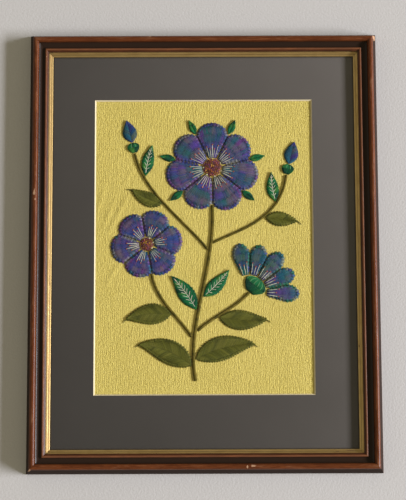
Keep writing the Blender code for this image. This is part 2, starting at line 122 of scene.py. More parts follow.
class Signal:
    """A value that a material's nodes work out. Sums with it add nodes."""

    def __init__(self, graph: "MaterialGraph", socket: bpy.types.NodeSocket) -> None:
        """Wraps an output of a node."""
        self.graph = graph
        self.socket = socket

    def maths(self, operation: str, other: object = 0.0) -> "Signal":
        """Returns a sum, product or the like of this value and another."""
        return self.graph.add("Math", 0, {0: self, 1: other}, operation=operation)

    def __add__(self, other: object) -> "Signal":
        """Returns the sum of two values."""
        return self.maths("ADD", other)

    def __sub__(self, other: object) -> "Signal":
        """Returns the difference of two values."""
        return self.maths("SUBTRACT", other)

    def __mul__(self, other: object) -> "Signal":
        """Returns the product of two values."""
        return self.maths("MULTIPLY", other)

    def taken_from(self, whole: float = 1.0) -> "Signal":
        """Returns what is left of a whole without this value."""
        return self.graph.add("Math", 0, {0: whole, 1: self}, operation="SUBTRACT")

    def step(self, low: float, high: float) -> "Signal":
        """Returns 0 below one value, 1 above another and a soft step between them."""
        inputs = {"Value": self, "From Min": low, "From Max": high}
        return self.graph.add("MapRange", 0, inputs, interpolation_type="SMOOTHSTEP")

    def relief(self, depth: float, under: "Signal | None" = None) -> "Signal":
        """Returns the normals of a fine relief whose heights, from 0 to 1, this value gives.

        Args:
            depth: How many metres the height 1 stands for.
            under: Normals of a coarser relief that it lies on.
        """
        inputs = {"Height": self, "Distance": depth, "Strength": 1.0}
        if under is not None:
            inputs["Normal"] = under
        return self.graph.add("Bump", 0, inputs)


class MaterialGraph:
    """One procedural material while its nodes are being wired."""

    def __init__(self, name: str) -> None:
        """Starts a material with one shader.

        Args:
            name: What the material is called.
        """
        self.material = bpy.data.materials.new(name)
        self.material.use_nodes = True
        self.tree = self.material.node_tree

    def feed(self, socket: bpy.types.NodeSocket, value: object) -> None:
        """Links a socket to a signal, or fills it with a value.

        Args:
            socket: The socket.
            value: The signal or the value.
        """
        if isinstance(value, Signal):
            self.tree.links.new(value.socket, socket)
        elif socket.type == "RGBA":
            socket.default_value = (*value, 1.0)
        else:
            socket.default_value = value

    def add(self, kind: str, output: str | int, inputs: dict, **options: object) -> Signal:
        """Adds a node.

        Args:
            kind: Its type, without the words that all shader nodes start with.
            output: The output that is read, by name or number.
            inputs: Values or signals for its inputs, by name or number.
            options: Its own settings.

        Returns:
            What comes out of it.
        """
        node = self.tree.nodes.new(f"ShaderNode{kind}")
        for option, value in options.items():
            setattr(node, option, value)
        for socket, value in inputs.items():
            self.feed(node.inputs[socket], value)
        return Signal(self, node.outputs[output])

    def place(self) -> Signal:
        """Returns the place on the object, in metres."""
        return self.add("TexCoord", "Object", {})

    def attribute(self, name: str, output: str = "Vector") -> Signal:
        """Returns an attribute of the piece's own mesh."""
        return self.add("Attribute", output, {}, attribute_name=name)

    def split(self, vector: Signal) -> list[Signal]:
        """Returns the three parts of a place."""
        node = self.add("SeparateXYZ", 0, {0: vector}).socket.node
        return [Signal(self, output) for output in node.outputs]

    def scaled(self, vector: Signal, scale: tuple[float, float, float]) -> Signal:
        """Returns a place stretched along its axes."""
        return self.add("Mapping", 0, {"Vector": vector, "Scale": scale})

    def speckle(
        self, vector: Signal, scale: float | tuple[float, float, float], detail: float = 3,
        roughness: float = 0.5, warp: float = 0,
    ) -> Signal:
        """Returns soft random values from 0 to 1.

        Args:
            vector: Where to read them.
            scale: How many patches there are to a metre, or to a metre along each axis.
            detail: How many finer layers are added.
            roughness: How strong the finer layers are.
            warp: How far the patches are bent.
        """
        if isinstance(scale, tuple):
            vector, scale = self.scaled(vector, scale), 1.0
        inputs = {
            "Vector": vector, "Scale": scale, "Detail": detail,
            "Roughness": roughness, "Distortion": warp,
        }
        return self.add("TexNoise", "Fac", inputs)

    def mix(self, share: object, first: object, second: object, how: str = "MIX") -> Signal:
        """Returns one colour mixed into another, by a share or a signal."""
        inputs = {0: share, 6: first, 7: second}
        return self.add("Mix", 2, inputs, data_type="RGBA", blend_type=how)

    def coats(self, colour: object, *coats: tuple[object, object]) -> Signal:
        """Returns a colour with others laid over it.

        Args:
            colour: The lowest colour.
            coats: The share and the colour of each coat, from the lowest up.
        """
        for share, coat in coats:
            colour = self.mix(share, colour, coat)
        return colour


@dataclass(frozen=True)
class Finish:
    """What a surface is made of: nodes for its colour, gloss and relief."""

    name: str

    def paint(self, graph: MaterialGraph) -> dict[str, object]:
        """Wires the nodes and returns what each of the shader's sockets gets."""
        raise NotImplementedError

    def material(self) -> bpy.types.Material:
        """Returns the finished material."""
        graph = MaterialGraph(self.name)
        shader = graph.tree.nodes["Principled BSDF"]
        for socket, value in self.paint(graph).items():
            graph.feed(shader.inputs[socket], value)
        return graph.material


@dataclass(frozen=True)
class StainedWood(Finish):
    """Red-brown waxed hardwood whose hollow and outer side are stained nearly black.

    It reads two attributes of the moulding: grain, which holds the place along it,
    the inset and the height, and wear, which is 1 where the wood is chipped.
    """

    name: str = "waxed_mahogany"
    red: Colour = srgb(118, 64, 32)
    dark_red: Colour = srgb(78, 36, 16)
    black: Colour = srgb(42, 28, 21)
    side: Colour = srgb(44, 27, 18)
    raw: Colour = srgb(176, 138, 108)
    side_end: float = 4.2 * MM
    hollow_start: float = 10.9 * MM
    hollow_end: float = 18.1 * MM
    lip_start: float = 20.7 * MM
    lip_blur: float = 0.6 * MM
    blur: float = 0.35 * MM
    sway: float = 0.9 * MM
    crest: Point = (17.6 * MM, 18.6 * MM)
    unstained: Point = (0.6 * MM, 0.1 * MM)
    streak_depth: float = 0.05 * MM
    pore_depth: float = 0.03 * MM

    def paint(self, graph: MaterialGraph) -> dict[str, object]:
        """Wires the stain, the figure, the pores, the rubbed crests and the chips.

        Args:
            graph: The material that is wired.

        Returns:
            What each of the shader's sockets gets.
        """
        grain, wear = graph.attribute("grain"), graph.attribute("wear", "Fac")
        _, inset, height = graph.split(grain)
        inset = inset + (graph.speckle(grain, (40, 900, 900), 4, 0.6, 0.4) - 0.5) * self.sway
        streaks = graph.speckle(grain, (75, 1300, 1300), 5, 0.65, 0.8)
        figure = graph.speckle(grain, (34, 150, 150), 4, 0.6, 0.6)
        pores = graph.speckle(grain, (160, 4200, 4200), 2, 0.5)
        past_side, past_bead, past_hollow, past_lip = (
            inset.step(edge - self.blur, edge + self.blur)
            for edge in (self.side_end, self.hollow_start, self.hollow_end, self.lip_start)
        )
        red = graph.mix(streaks.step(0.32, 0.64), self.dark_red, self.red)
        red = graph.mix(figure.step(0.38, 0.62), graph.mix(0.42, red, self.dark_red), red)
        soft_black = graph.mix(0.3, self.black, self.side)
        colour = graph.coats(
            graph.mix(streaks.step(0.3, 0.75), self.black, self.side),
            (past_side, red),
            (past_bead, graph.mix(streaks.step(0.45, 0.8), self.black, soft_black)),
            (past_hollow, red),
            (past_lip, graph.mix(0.62, red, self.black)),
        )
        rubbed = height.step(*self.crest) * figure.step(0.5, 0.72)
        on_inner_bead = past_hollow * inset.step(self.lip_start, self.lip_start - self.lip_blur)
        bare = graph.mix(streaks, self.raw, graph.mix(0.4, self.raw, red))
        chipped = (wear + (pores - 0.5) * 0.9).step(0.42, 0.55)
        colour = graph.coats(
            colour,
            (pores.step(0.62, 0.7), graph.mix(0.5, colour, self.black)),
            (rubbed * 0.22, self.raw),
            (on_inner_bead * 0.14, self.raw),
            (height.step(*self.unstained), bare),
            (chipped, self.raw),
        )
        return {
            "Base Color": colour,
            "Roughness": streaks * 0.14 + 0.25 + chipped * 0.35 + past_side.taken_from() * 0.5,
            "Normal": pores.relief(self.pore_depth, streaks.relief(self.streak_depth)),
            "Specular IOR Level": 0.2,
        }


@dataclass(frozen=True)
class GoldLeaf(Finish):
    """Gilt wood: metal leaf over red-brown ground that shows where it is rubbed."""

    name: str = "rubbed_gilt"
    leaf: Colour = srgb(208, 176, 116)
    old_leaf: Colour = srgb(190, 158, 100)
    ground: Colour = srgb(92, 56, 34)
    groove: float = 24.75 * MM
    groove_width: float = 0.4 * MM
    groove_floor: float = 0.1 * MM
    depth: float = 0.02 * MM

    def paint(self, graph: MaterialGraph) -> dict[str, object]:
        """Wires the leaf, its rubbed specks and the darker groove between the treads.

        Args:
            graph: The material that is wired.

        Returns:
            What each of the shader's sockets gets.
        """
        grain, wear = graph.attribute("grain"), graph.attribute("wear", "Fac")
        clouds = graph.speckle(grain, (60, 260, 260), 4, 0.6)
        lines = graph.speckle(grain, (90, 2600, 2600), 3, 0.6)
        specks = graph.speckle(grain, (500, 900, 900), 2).step(0.70, 0.76)
        bare = (wear + (lines - 0.5) * 0.8).step(0.45, 0.6).maths("MAXIMUM", specks)
        off_groove = (graph.split(grain)[1] - self.groove).maths("ABSOLUTE")
        colour = graph.coats(
            self.leaf,
            (clouds.step(0.35, 0.7), self.old_leaf),
            (lines.step(0.5, 0.9), self.old_leaf),
            (bare, self.ground),
            # the groove between the treads, darkened with the ground colour
            (off_groove.step(self.groove_width, self.groove_floor) * 0.6, self.ground),
        )
        return {
            "Base Color": colour,
            "Metallic": bare.taken_from() * 0.85,
            "Roughness": clouds * 0.12 + 0.31,
            "Normal": lines.relief(self.depth),
        }


@dataclass(frozen=True)
class MountPaper(Finish):
    """Matt grey paper face of the mount board: fine fibres, paler towards its upper right by a
    painted sheen.

    Beside the gilt slip runs a narrow warm-brown line of painted shade, with painted bounce light
    from the gilt.
    """

    name: str = "grey_mount_paper"
    grey: Colour = srgb(59, 55, 51)
    light_grey: Colour = srgb(64, 60, 56)
    # painted sheen: the paler colour towards the upper right
    painted_sheen: Colour = srgb(117, 111, 107)
    # painted shade beside the slip, warm with painted bounce light from the gilt
    painted_shade: Colour = srgb(46, 36, 22)
    dust: Colour = srgb(150, 145, 138)
    # spread and slant of the painted sheen's gradient
    sheen_middle: float = 0.37
    sheen_rise: float = 0.38
    sight_inset: float = 27.2 * MM
    # width of the painted shade beside the slip, and where it starts under the slip
    painted_shade_width: float = 2.4 * MM
    painted_shade_under: float = -0.6 * MM
    depth: float = 0.05 * MM

    def paint(self, graph: MaterialGraph) -> dict[str, object]:
        """Wires the fibres, the painted sheen, the painted shade beside the slip and specks of
        dust.

        Args:
            graph: The material that is wired.

        Returns:
            What each of the shader's sockets gets.
        """
        place = graph.place()
        across, up, _ = graph.split(place)
        fibres = graph.speckle(graph.scaled(place, (1, 1.6, 1)), 1900, 4, 0.65, 0.6)
        # painted sheen: a gradient rising towards the upper right
        drift = across + up * self.sheen_rise + (graph.speckle(place, 26, 3, 0.5) - 0.5) * 0.05
        painted_sheen = (drift + self.sheen_middle).maths("DIVIDE", 2 * self.sheen_middle)
        to_side, to_end = (
            way.maths("ABSOLUTE").taken_from(size / 2 - self.sight_inset)
            for way, size in ((across, FRAME_WIDTH), (up, FRAME_HEIGHT))
        )
        from_slip = to_side.maths("MINIMUM", to_end)
        colour = graph.coats(
            self.grey,
            (fibres.step(0.3, 0.75), self.light_grey),
            # painted sheen towards the upper right
            (painted_sheen.maths("MAXIMUM").maths("POWER", 2.0), self.painted_sheen),
            # painted shade beside the slip
            (from_slip.step(self.painted_shade_under, self.painted_shade_width).taken_from() * 0.8, self.painted_shade),
            (graph.speckle(place, 560, 1, 0.4).step(0.80, 0.83) * 0.35, self.dust),
        )
        return {
            "Base Color": colour, "Roughness": 0.86, "Normal": fibres.relief(self.depth),
            "Specular IOR Level": 0.2,
        }


@dataclass(frozen=True)
class BoardCore(Finish):
    """Cream core of the mount board, cut clean at the bevel."""

    name: str = "cream_board_core"
    cream: Colour = srgb(232, 218, 184)
    shade: Colour = srgb(212, 196, 158)
    depth: float = 0.03 * MM

    def paint(self, graph: MaterialGraph) -> dict[str, object]:
        """Wires the thin layers of the board.

        Args:
            graph: The material that is wired.

        Returns:
            What each of the shader's sockets gets.
        """
        layers = graph.speckle(graph.place(), (220, 220, 6000), 3, 0.6)
        colour = graph.mix(layers.step(0.3, 0.7), self.shade, self.cream)
        return {"Base Color": colour, "Roughness": 0.8, "Normal": layers.relief(self.depth)}


@dataclass(frozen=True)
class CrepeSilk(Finish):
    """Yellow silk crepe: a soft sheen over fine crinkles that run up the cloth."""

    name: str = "yellow_crepe_silk"
    gold: Colour = srgb(224, 202, 100)
    # light is the painted highlight on crinkle crests and the slubs' colour; deep is the painted
    # shade in crinkle troughs and the clouds' colour
    light: Colour = srgb(246, 227, 127)
    deep: Colour = srgb(188, 165, 65)
    crinkle_depth: float = 1.25 * MM
    weave_depth: float = 0.015 * MM

    def paint(self, graph: MaterialGraph) -> dict[str, object]:
        """Wires the crinkles, with painted highlights on their crests and painted shade in their
        troughs, the slubs, the weave and soft clouds of colour.

        Args:
            graph: The material that is wired.

        Returns:
            What each of the shader's sockets gets.
        """
        place = graph.place()
        strands = graph.add(
            "TexWave", "Fac",
            {"Vector": graph.scaled(place, (1, 0.55, 1)), "Scale": 140, "Distortion": 7.0,
             "Detail": 2, "Detail Scale": 1.5, "Detail Roughness": 0.6},
            bands_direction="X",
        )
        weave = graph.add(
            "TexWave", "Fac", {"Vector": place, "Scale": 900, "Distortion": 1.5, "Detail": 2},
            bands_direction="Y",
        )
        tangle = graph.speckle(place, (860, 740, 500), 3, 0.6, 1.2)
        crinkle = strands * 0.12 + tangle * 0.88
        slubs = graph.speckle(place, (420, 46, 100), 3, 0.55, 0.5)
        clouds = graph.speckle(place, 14, 3, 0.5)
        colour = graph.coats(
            self.deep,
            # painted highlight on the crinkles' crests and painted shade in their troughs
            (crinkle.step(0.30, 0.70), self.light),
            (0.44, self.gold),
            (slubs.step(0.55, 0.8) * 0.4, self.light),
            (clouds.step(0.4, 0.8) * 0.22, self.deep),
        )
        return {
            "Base Color": colour, "Roughness": 0.52,
            "Normal": weave.relief(self.weave_depth, crinkle.relief(self.crinkle_depth)),
            "Sheen Weight": 0.05, "Sheen Roughness": 0.4, "Specular IOR Level": 0.35,
        }


@dataclass(frozen=True)
class ClearGlass(Finish):
    """Clean picture glass, so clear that only its faint shade shows."""

    name: str = "clear_picture_glass"
    shade: Colour = srgb(60, 70, 66)
    film: Colour = srgb(120, 126, 122)
    alpha: float = 0.02

    def paint(self, graph: MaterialGraph) -> dict[str, object]:
        """Wires a faint film on the pane.

        Args:
            graph: The material that is wired.

        Returns:
            What each of the shader's sockets gets.
        """
        patches = graph.speckle(graph.place(), 9, 4, 0.6, 0.3)
        colour = graph.mix(patches, self.shade, graph.mix(0.5, self.shade, self.film))
        return {
            "Base Color": colour, "Roughness": 0.08, "Alpha": self.alpha,
            "Specular IOR Level": 0.4,
        }


@dataclass(frozen=True)
class Hardboard(Finish):
    """Plain brown hardboard with pressed fibres."""

    name: str = "brown_hardboard"
    brown: Colour = srgb(128, 96, 68)
    dark: Colour = srgb(92, 64, 43)
    depth: float = 0.12 * MM

    def paint(self, graph: MaterialGraph) -> dict[str, object]:
        """Wires the fibres and darker patches.

        Args:
            graph: The material that is wired.

        Returns:
            What each of the shader's sockets gets.
        """
        place = graph.place()
        fibres = graph.speckle(graph.scaled(place, (1, 2.2, 1)), 520, 5, 0.7, 1.4)
        patches = graph.speckle(place, 30, 3, 0.5)
        colour = graph.coats(
            self.dark, (fibres.step(0.35, 0.7), self.brown), (patches * 0.4, self.dark)
        )
        return {"Base Color": colour, "Roughness": 0.75, "Normal": fibres.relief(self.depth)}


@dataclass(frozen=True)
class Floss(Finish):
    """Twisted embroidery thread, in the colour that each stitch carries.

    It reads two attributes of the stitches: thread_colour and thread_run, which
    holds the place along a thread and the two places across it.
    """

    depth: float = 0.07 * MM

    def paint(self, graph: MaterialGraph) -> dict[str, object]:
        """Wires the fibres and the twist of the thread.

        Args:
            graph: The material that is wired.

        Returns:
            What each of the shader's sockets gets.
        """
        run, colour = graph.attribute("thread_run"), graph.attribute("thread_colour", "Color")
        along, across, up = graph.split(run)
        twist = (along * 3.1 + up.maths("ARCTAN2", across)).maths("SINE")
        fibres = graph.speckle(run, (0.8, 4.0, 4.0), 3, 0.6)
        dark = graph.mix(1.0, colour, srgb(200, 200, 205), "MULTIPLY")
        light = graph.mix(0.01, colour, srgb(225, 222, 235))
        return {
            "Base Color": graph.mix(fibres.step(0.3, 0.72), dark, light),
            "Roughness": 0.55,
            "Normal": (twist * 0.25 + fibres).relief(self.depth),
            "Specular IOR Level": 0.1,
        }


@dataclass(frozen=True)
class PaleFloor(Finish):
    """Plain pale ground that the picture lies on, with a faint pressed grain."""

    name: str = "pale_floor"
    pale: Colour = srgb(203, 200, 199)
    shade: Colour = srgb(194, 191, 190)
    depth: float = 0.25 * MM

    def paint(self, graph: MaterialGraph) -> dict[str, object]:
        """Wires the pressed grain.

        Args:
            graph: The material that is wired.

        Returns:
            What each of the shader's sockets gets.
        """
        grain = graph.speckle(graph.place(), 420, 3, 0.5, 0.5)
        colour = graph.mix(grain, self.shade, self.pale)
        return {"Base Color": colour, "Roughness": 0.6, "Normal": grain.relief(self.depth)}


def closed(shape: bmesh.types.BMesh) -> bmesh.types.BMesh:
    """Fills the open end of a shape and turns its faces outwards.

    Args:
        shape: The shape, in metres.

    Returns:
        The same shape.
    """
    rim = [edge for edge in shape.edges if edge.is_boundary]
    if rim:
        bmesh.ops.contextual_create(shape, geom=rim)
    bmesh.ops.recalc_face_normals(shape, faces=shape.faces[:])
    return shape


def softened(shape: bmesh.types.BMesh, edges: list[bmesh.types.BMEdge], size: float) -> None:
    """Rounds some edges of a shape a little.

    Args:
        shape: The shape.
        edges: The edges.
        size: How far the rounding reaches from an edge, in metres.
    """
    bmesh.ops.bevel(
        shape, geom=edges, offset=size, segments=2, profile=0.5,
        affect="EDGES", clamp_overlap=True, material=-1,
    )


def kept(name: str, shape: bmesh.types.BMesh) -> bpy.types.Mesh:
    """Turns a bmesh into a mesh and frees it.

    Args:
        name: Name of the mesh.
        shape: The shape. It is freed.

    Returns:
        The mesh.
    """
    mesh = bpy.data.meshes.new(name)
    shape.to_mesh(mesh)
    shape.free()
    return mesh


def stand(name: str, data: bpy.types.ID) -> bpy.types.Object:
    """Puts a mesh, a light or a camera into the scene.

    Args:
        name: Name of the object.
        data: The mesh, light or camera.

    Returns:
        The object.
    """
    thing = bpy.data.objects.new(name, data)
    bpy.context.scene.collection.objects.link(thing)
    return thing


def finish_piece(
    name: str, shape: bmesh.types.BMesh, materials: Sequence[bpy.types.Material],
    node: str, sharp_from: float = 38,
) -> bpy.types.Object:
    """Turns a finished shape into a piece of the scene.

    Args:
        name: Name of the piece.
        shape: Its shape, in metres, in place. It is freed.
        materials: Its materials, in the order of its faces' material numbers.
        node: The plain solid that it takes the place of.
        sharp_from: The angle in degrees from which an edge stays sharp.

    Returns:
        The piece, which rides on the object's one body.
    """
    mesh = kept(name, shape)
    mesh.shade_smooth()
    mesh.set_sharp_from_angle(angle=math.radians(sharp_from))
    for material in materials:
        mesh.materials.append(material)
    piece = stand(name, mesh)
    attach(piece, BODY)
    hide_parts(node)
    LOG.info("%s: %d faces", name, len(mesh.polygons))
    return piece


class Side(Enum):
    """The four sides of the frame, by quarter turns from the bottom one."""

    BOTTOM = 0
    RIGHT = 1
    TOP = 2
    LEFT = 3

    @property
    def axes(self) -> tuple[Vector, Vector]:
        """Directions along the side and from it to the middle of the frame."""
        quarter = math.pi / 2 * self.value
        along = Vector((math.cos(quarter), math.sin(quarter), 0))
        return along, Vector((-along.y, along.x, 0))

    @property
    def halves(self) -> Point:
        """Half the length of the side, and its distance from the frame's middle."""
        sizes = (FRAME_WIDTH / 2, FRAME_HEIGHT / 2)
        return sizes if self.value % 2 == 0 else sizes[::-1]


@dataclass(frozen=True)
class WearMark:
    """A chip, scratch or rub on one side of the frame, in millimetres."""

    side: Side
    run: float
    inset: float
    length: float
    width: float
    depth: float

    def strength(self, run: float, inset: float) -> float:
        """Returns 1 in the middle of the mark, 0 at its edge and less beyond it.

        Args:
            run: Place along the side, in metres.
            inset: Distance from its outer face, in metres.
        """
        along = (run / MM - self.run) / (self.length / 2)
        across = (inset / MM - self.inset) / (self.width / 2)
        return 1 - along ** 2 - across ** 2


@dataclass
class MitredMoulding:
    """Four mitred lengths of one section, with the wear that each has."""

    piece_stem: str
    node_stem: str
    slot: str
    section: list[Point]
    material: bpy.types.Material
    marks: Sequence[WearMark] = ()
    mitre_gap: float = 0.10 * MM
    ring_step: float = 14 * MM
    fine_step: float = 0.6 * MM
    mark_margin: float = 1 * MM
    edge_round: float = 0.16 * MM
    edge_angle: float = 34
    unevenness: float = 0.05 * MM
    even_below: float = 4 * MM
    unworn_below: float = 2 * MM

    def places_along(self, side: Side) -> list[float]:
        """Returns where the rings of a side stand: closer together at its marks.

        Args:
            side: The side of the frame.
        """
        half_run = side.halves[0]
        count = math.ceil(2 * half_run / self.ring_step)
        places = {half_run * (2 * index / count - 1) for index in range(count + 1)}
        for mark in self.marks:
            if mark.side is side:
                steps = math.ceil((mark.length * MM / 2 + self.mark_margin) / self.fine_step)
                near = (mark.run * MM + self.fine_step * step for step in range(-steps, steps + 1))
                places.update(place for place in near if abs(place) < half_run)
        spaced: list[float] = []
        for place in sorted(places):
            if not spaced or place - spaced[-1] > self.fine_step / 3:
                spaced.append(place)
        spaced[-1] = half_run
        return spaced

    def worn(self, side: Side, run: float, inset: float, height: float) -> Point:
        """Returns how far a point is worn down, in metres, and its wear from 0 to 1.

        Args:
            side: The side of the frame.
            run: Place along it, in metres.
            inset: Distance from its outer face.
            height: Height above its back.
        """
        depth, wear = 0.0, 0.0
        for mark in self.marks:
            if mark.side is side and height > self.unworn_below:
                strength = max(0.0, mark.strength(run, inset))
                rough = 0.7 + 0.6 * noise.noise(Vector((run, inset, height)) * 1400)
                depth = max(depth, mark.depth * MM * strength * rough)
                wear = max(wear, min(1.0, 1.6 * strength))
        return depth, wear

    def build(self, side: Side) -> bpy.types.Object:
        """Lofts the section along one side, and keeps its grain and wear as attributes.

        Args:
            side: The side of the frame.

        Returns:
            The piece.
        """
        shape = bmesh.new()
        grain = shape.verts.layers.float_vector.new("grain")
        wear = shape.verts.layers.float.new("wear")
        along, inward = side.axes
        half_run, half_span = side.halves

        def settle(face: bmesh.types.BMFace, share: float) -> None:
            """Puts a ring of the section in its place along the side.

            Args:
                face: The ring, as a face.
                share: Its place, as a share of the side's half length.
            """
            for vert, (inset, height) in zip(face.verts, self.section):
                run = share * (half_run - inset - self.mitre_gap)
                sway = self.unevenness * noise.noise(Vector((run * 18, inset * 90, height * 90)))
                depth, vert[wear] = self.worn(side, run, inset, height)
                low = height - depth + (sway if height > self.even_below else 0.0)
                vert.co = along * run + inward * (inset - half_span) + UP * low
                vert[grain] = (run, inset, height)

        face = shape.faces.new([shape.verts.new() for _ in self.section])
        shares = [place / half_run for place in self.places_along(side)]
        settle(face, shares[0])
        for share in shares[1:]:
            face = bmesh.ops.extrude_discrete_faces(shape, faces=[face])["faces"][0]
            settle(face, share)
        closed(shape)
        edges = []
        for edge in shape.edges:
            run = (edge.verts[1].co - edge.verts[0].co).normalized()
            sharp = edge.is_manifold and edge.calc_face_angle() > math.radians(self.edge_angle)
            if sharp and abs(run.dot(along)) > 0.9:
                edges.append(edge)
        softened(shape, edges, self.edge_round)
        word = side.name.lower()
        return finish_piece(
            f"{self.piece_stem}_{word}", shape, [self.material],
            f"{self.node_stem}_{word}",
        )


@dataclass(frozen=True)
class FrameSection:
    """Sections of the wooden moulding and of the gilt slip inside it."""

    rail_width: float = 22.5 * MM
    foot_height: float = 1.2 * MM
    side_lean: float = 4.3 * MM
    side_top: float = 15.1 * MM
    outer_bead_width: float = 6.5 * MM
    outer_bead_base: float = 15.5 * MM
    outer_bead_rise: float = 3.0 * MM
    hollow_width: float = 7.2 * MM
    hollow_edge: float = 15.0 * MM
    hollow_depth: float = 1.7 * MM
    inner_bead_width: float = 2.6 * MM
    inner_bead_base: float = 13.4 * MM
    inner_bead_rise: float = 1.1 * MM
    sight_edge: float = 12.6 * MM
    rebate_width: float = 6.0 * MM
    rebate_depth: float = 12.0 * MM
    bead_steps: int = 14
    slip_back: float = 6.0 * MM
    slip_thickness: float = 3.4 * MM
    slip_showing: float = 4.7 * MM
    slip_sight_edge: float = 0.8 * MM
    fit_gap: float = 0.3 * MM
    first_tread: tuple[Point, Point] = ((0.4 * MM, 0.05 * MM), (2.15 * MM, 0.75 * MM))
    second_tread: Point = (2.35 * MM, 1.15 * MM)
    sight_corner: Point = (0.15 * MM, 0.6 * MM)
    tread_rises: Point = (0.07 * MM, 0.08 * MM)

    def swell(self, start: Point, end: Point, rise: float, steps: int) -> list[Point]:
        """Returns points of a round bead between two points, or of a hollow below them.

        Args:
            start: Inset and height where it starts.
            end: The same where it ends.
            rise: Its height above the two, or less than 0.
            steps: How many steps it has.
        """
        points = []
        for step in range(steps + 1):
            angle = math.pi * step / steps
            inset, height = blend(start, end, (1 - math.cos(angle)) / 2)
            points.append((inset, height + rise * math.sin(angle)))
        return points

    def rail(self) -> list[Point]:
        """Returns the section of the moulding: inset from the outer side, and height."""
        hollow_start = self.side_lean + self.outer_bead_width
        inner_start = hollow_start + self.hollow_width
        inner_end = inner_start + self.inner_bead_width
        rebate_inset = self.rail_width - self.rebate_width
        outer, inner, steps = self.outer_bead_base, self.inner_bead_base, self.bead_steps
        beads = (
            ((self.side_lean, outer), (hollow_start, outer), self.outer_bead_rise, steps),
            ((hollow_start, self.hollow_edge), (inner_start, inner), -self.hollow_depth, steps),
            ((inner_start, inner), (inner_end, inner), self.inner_bead_rise, steps // 2),
        )
        side_bow = (self.side_lean * 0.45, self.side_top * 0.56)
        points = [(0, 0), (0, self.foot_height), side_bow, (self.side_lean, self.side_top)]
        for index, bead in enumerate(beads):
            points += self.swell(*bead)[1 if index == 2 else 0:]
        points += [(self.rail_width, self.sight_edge), (self.rail_width, self.rebate_depth)]
        return points + [(rebate_inset, self.rebate_depth), (rebate_inset, 0)]

    def slip(self) -> list[Point]:
        """Returns the section of the gilt slip: two treads with a small step between."""
        outer = self.rail_width - self.rebate_width + self.fit_gap
        sight = self.rail_width + self.slip_showing
        top = self.slip_back + self.slip_thickness
        edge = self.slip_back + self.slip_sight_edge
        start, end, second = (
            (self.rail_width + inset, top - drop)
            for inset, drop in (*self.first_tread, self.second_tread)
        )
        corner = (sight - self.sight_corner[0], edge + self.sight_corner[1])
        points = [(outer, self.slip_back), (outer, top), (self.rail_width + self.fit_gap, top)]
        points += self.swell(start, end, self.tread_rises[0], 6)
        points += self.swell(second, corner, self.tread_rises[1], 7)
        return points + [(sight, edge), (sight, self.slip_back)]


# What shows of age: a chipped corner, nicks and scratches on the beads, rubbed gilding
RAIL_MARKS = (
    WearMark(Side.LEFT, -65, 7.2, 5.0, 3.4, 0.55),
    WearMark(Side.LEFT, -58, 8.4, 2.2, 1.6, 0.30),
    WearMark(Side.BOTTOM, 48, 7.0, 2.0, 4.6, 0.35),
    WearMark(Side.BOTTOM, 53, 8.0, 1.8, 3.0, 0.25),
    WearMark(Side.BOTTOM, 135, 7.4, 2.2, 4.2, 0.35),
    WearMark(Side.BOTTOM, -47, 19.3, 2.6, 2.0, 0.25),
    WearMark(Side.BOTTOM, -197.5, 4.3, 4.0, 3.0, 0.40),
    WearMark(Side.RIGHT, 250, 2.8, 8.0, 4.4, 0.60),
    WearMark(Side.TOP, -196, 3.4, 5.0, 3.4, 0.40),
    WearMark(Side.TOP, 62, 5.4, 3.0, 1.6, 0.25),
)
SLIP_MARKS = (
    WearMark(Side.BOTTOM, 166, 25.2, 17, 1.0, 0.10),
    WearMark(Side.BOTTOM, 150, 24.2, 5, 0.8, 0.10),
    WearMark(Side.RIGHT, -126, 24.6, 6, 2.2, 0.12),
    WearMark(Side.RIGHT, -112, 25.8, 4, 1.2, 0.10),
    WearMark(Side.LEFT, 40, 25.6, 5, 1.0, 0.08),
)


@dataclass
class MountBoard:
    """Grey mount board with a window whose bevel shows the cream core."""

    face_material: bpy.types.Material
    core_material: bpy.types.Material
    bevel: float = 1.4 * MM
    edge_round: float = 0.10 * MM

    def build(self) -> bpy.types.Object:
        """Cuts the window out of a sheet and slopes its edge at 45 degrees."""
        low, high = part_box("mount_board")
        shape = bmesh.new()
        bmesh.ops.create_grid(shape, x_segments=3, y_segments=3, size=1.0)
        window = [face for face in shape.faces if face.calc_center_median().length < 0.1]
        bmesh.ops.delete(shape, geom=window, context="FACES")
        backs = set(shape.verts)
        bmesh.ops.extrude_face_region(shape, geom=shape.faces[:])
        for vert in shape.verts:
            spread = 0 if vert in backs else self.bevel
            outer_x, outer_y = abs(vert.co.x) > 0.9, abs(vert.co.y) > 0.9
            half_x = high.x if outer_x else WINDOW_WIDTH / 2 + spread
            half_y = high.y if outer_y else WINDOW_HEIGHT / 2 + spread
            y = math.copysign(half_y, vert.co.y) + (0 if outer_y else WINDOW_RISE)
            z = low.z if vert in backs else high.z
            vert.co = (math.copysign(half_x, vert.co.x), y, z)
        closed(shape)
        for face in shape.faces:
            face.material_index = 0 if face.normal.z > 0.9 else 1
        softened(shape, [edge for edge in shape.edges if self.at_window(edge)], self.edge_round)
        return finish_piece(
            "window_mount", shape, [self.face_material, self.core_material],
            "mount_board", 30,
        )

    def at_window(self, edge: bmesh.types.BMEdge) -> bool:
        """Tells whether an edge lies between the board's face and its bevel."""
        slopes = sorted(face.normal.z for face in edge.link_faces)
        return len(slopes) == 2 and 0.5 < slopes[0] < 0.9 and slopes[1] > 0.9


@dataclass(frozen=True)
class Pucker:
    """A shallow swelling of the silk, in millimetres from the window's middle."""

    x: float
    y: float
    heading: float
    length: float
    width: float
    rise: float

    def height(self, x: float, y: float) -> float:
        """Returns its height at a point.

        Args:
            x: Distance to the right of the window's middle, in millimetres.
            y: Distance above it.
        """
        heading = math.radians(self.heading)
        along = ((x - self.x) * math.cos(heading) + (y - self.y) * math.sin(heading)) / self.length
        across = ((y - self.y) * math.cos(heading) - (x - self.x) * math.sin(heading)) / self.width
        if abs(along) > 0.5 or abs(across) > 0.5:
            return 0.0
        return self.rise * (math.cos(math.pi * along) * math.cos(math.pi * across)) ** 2


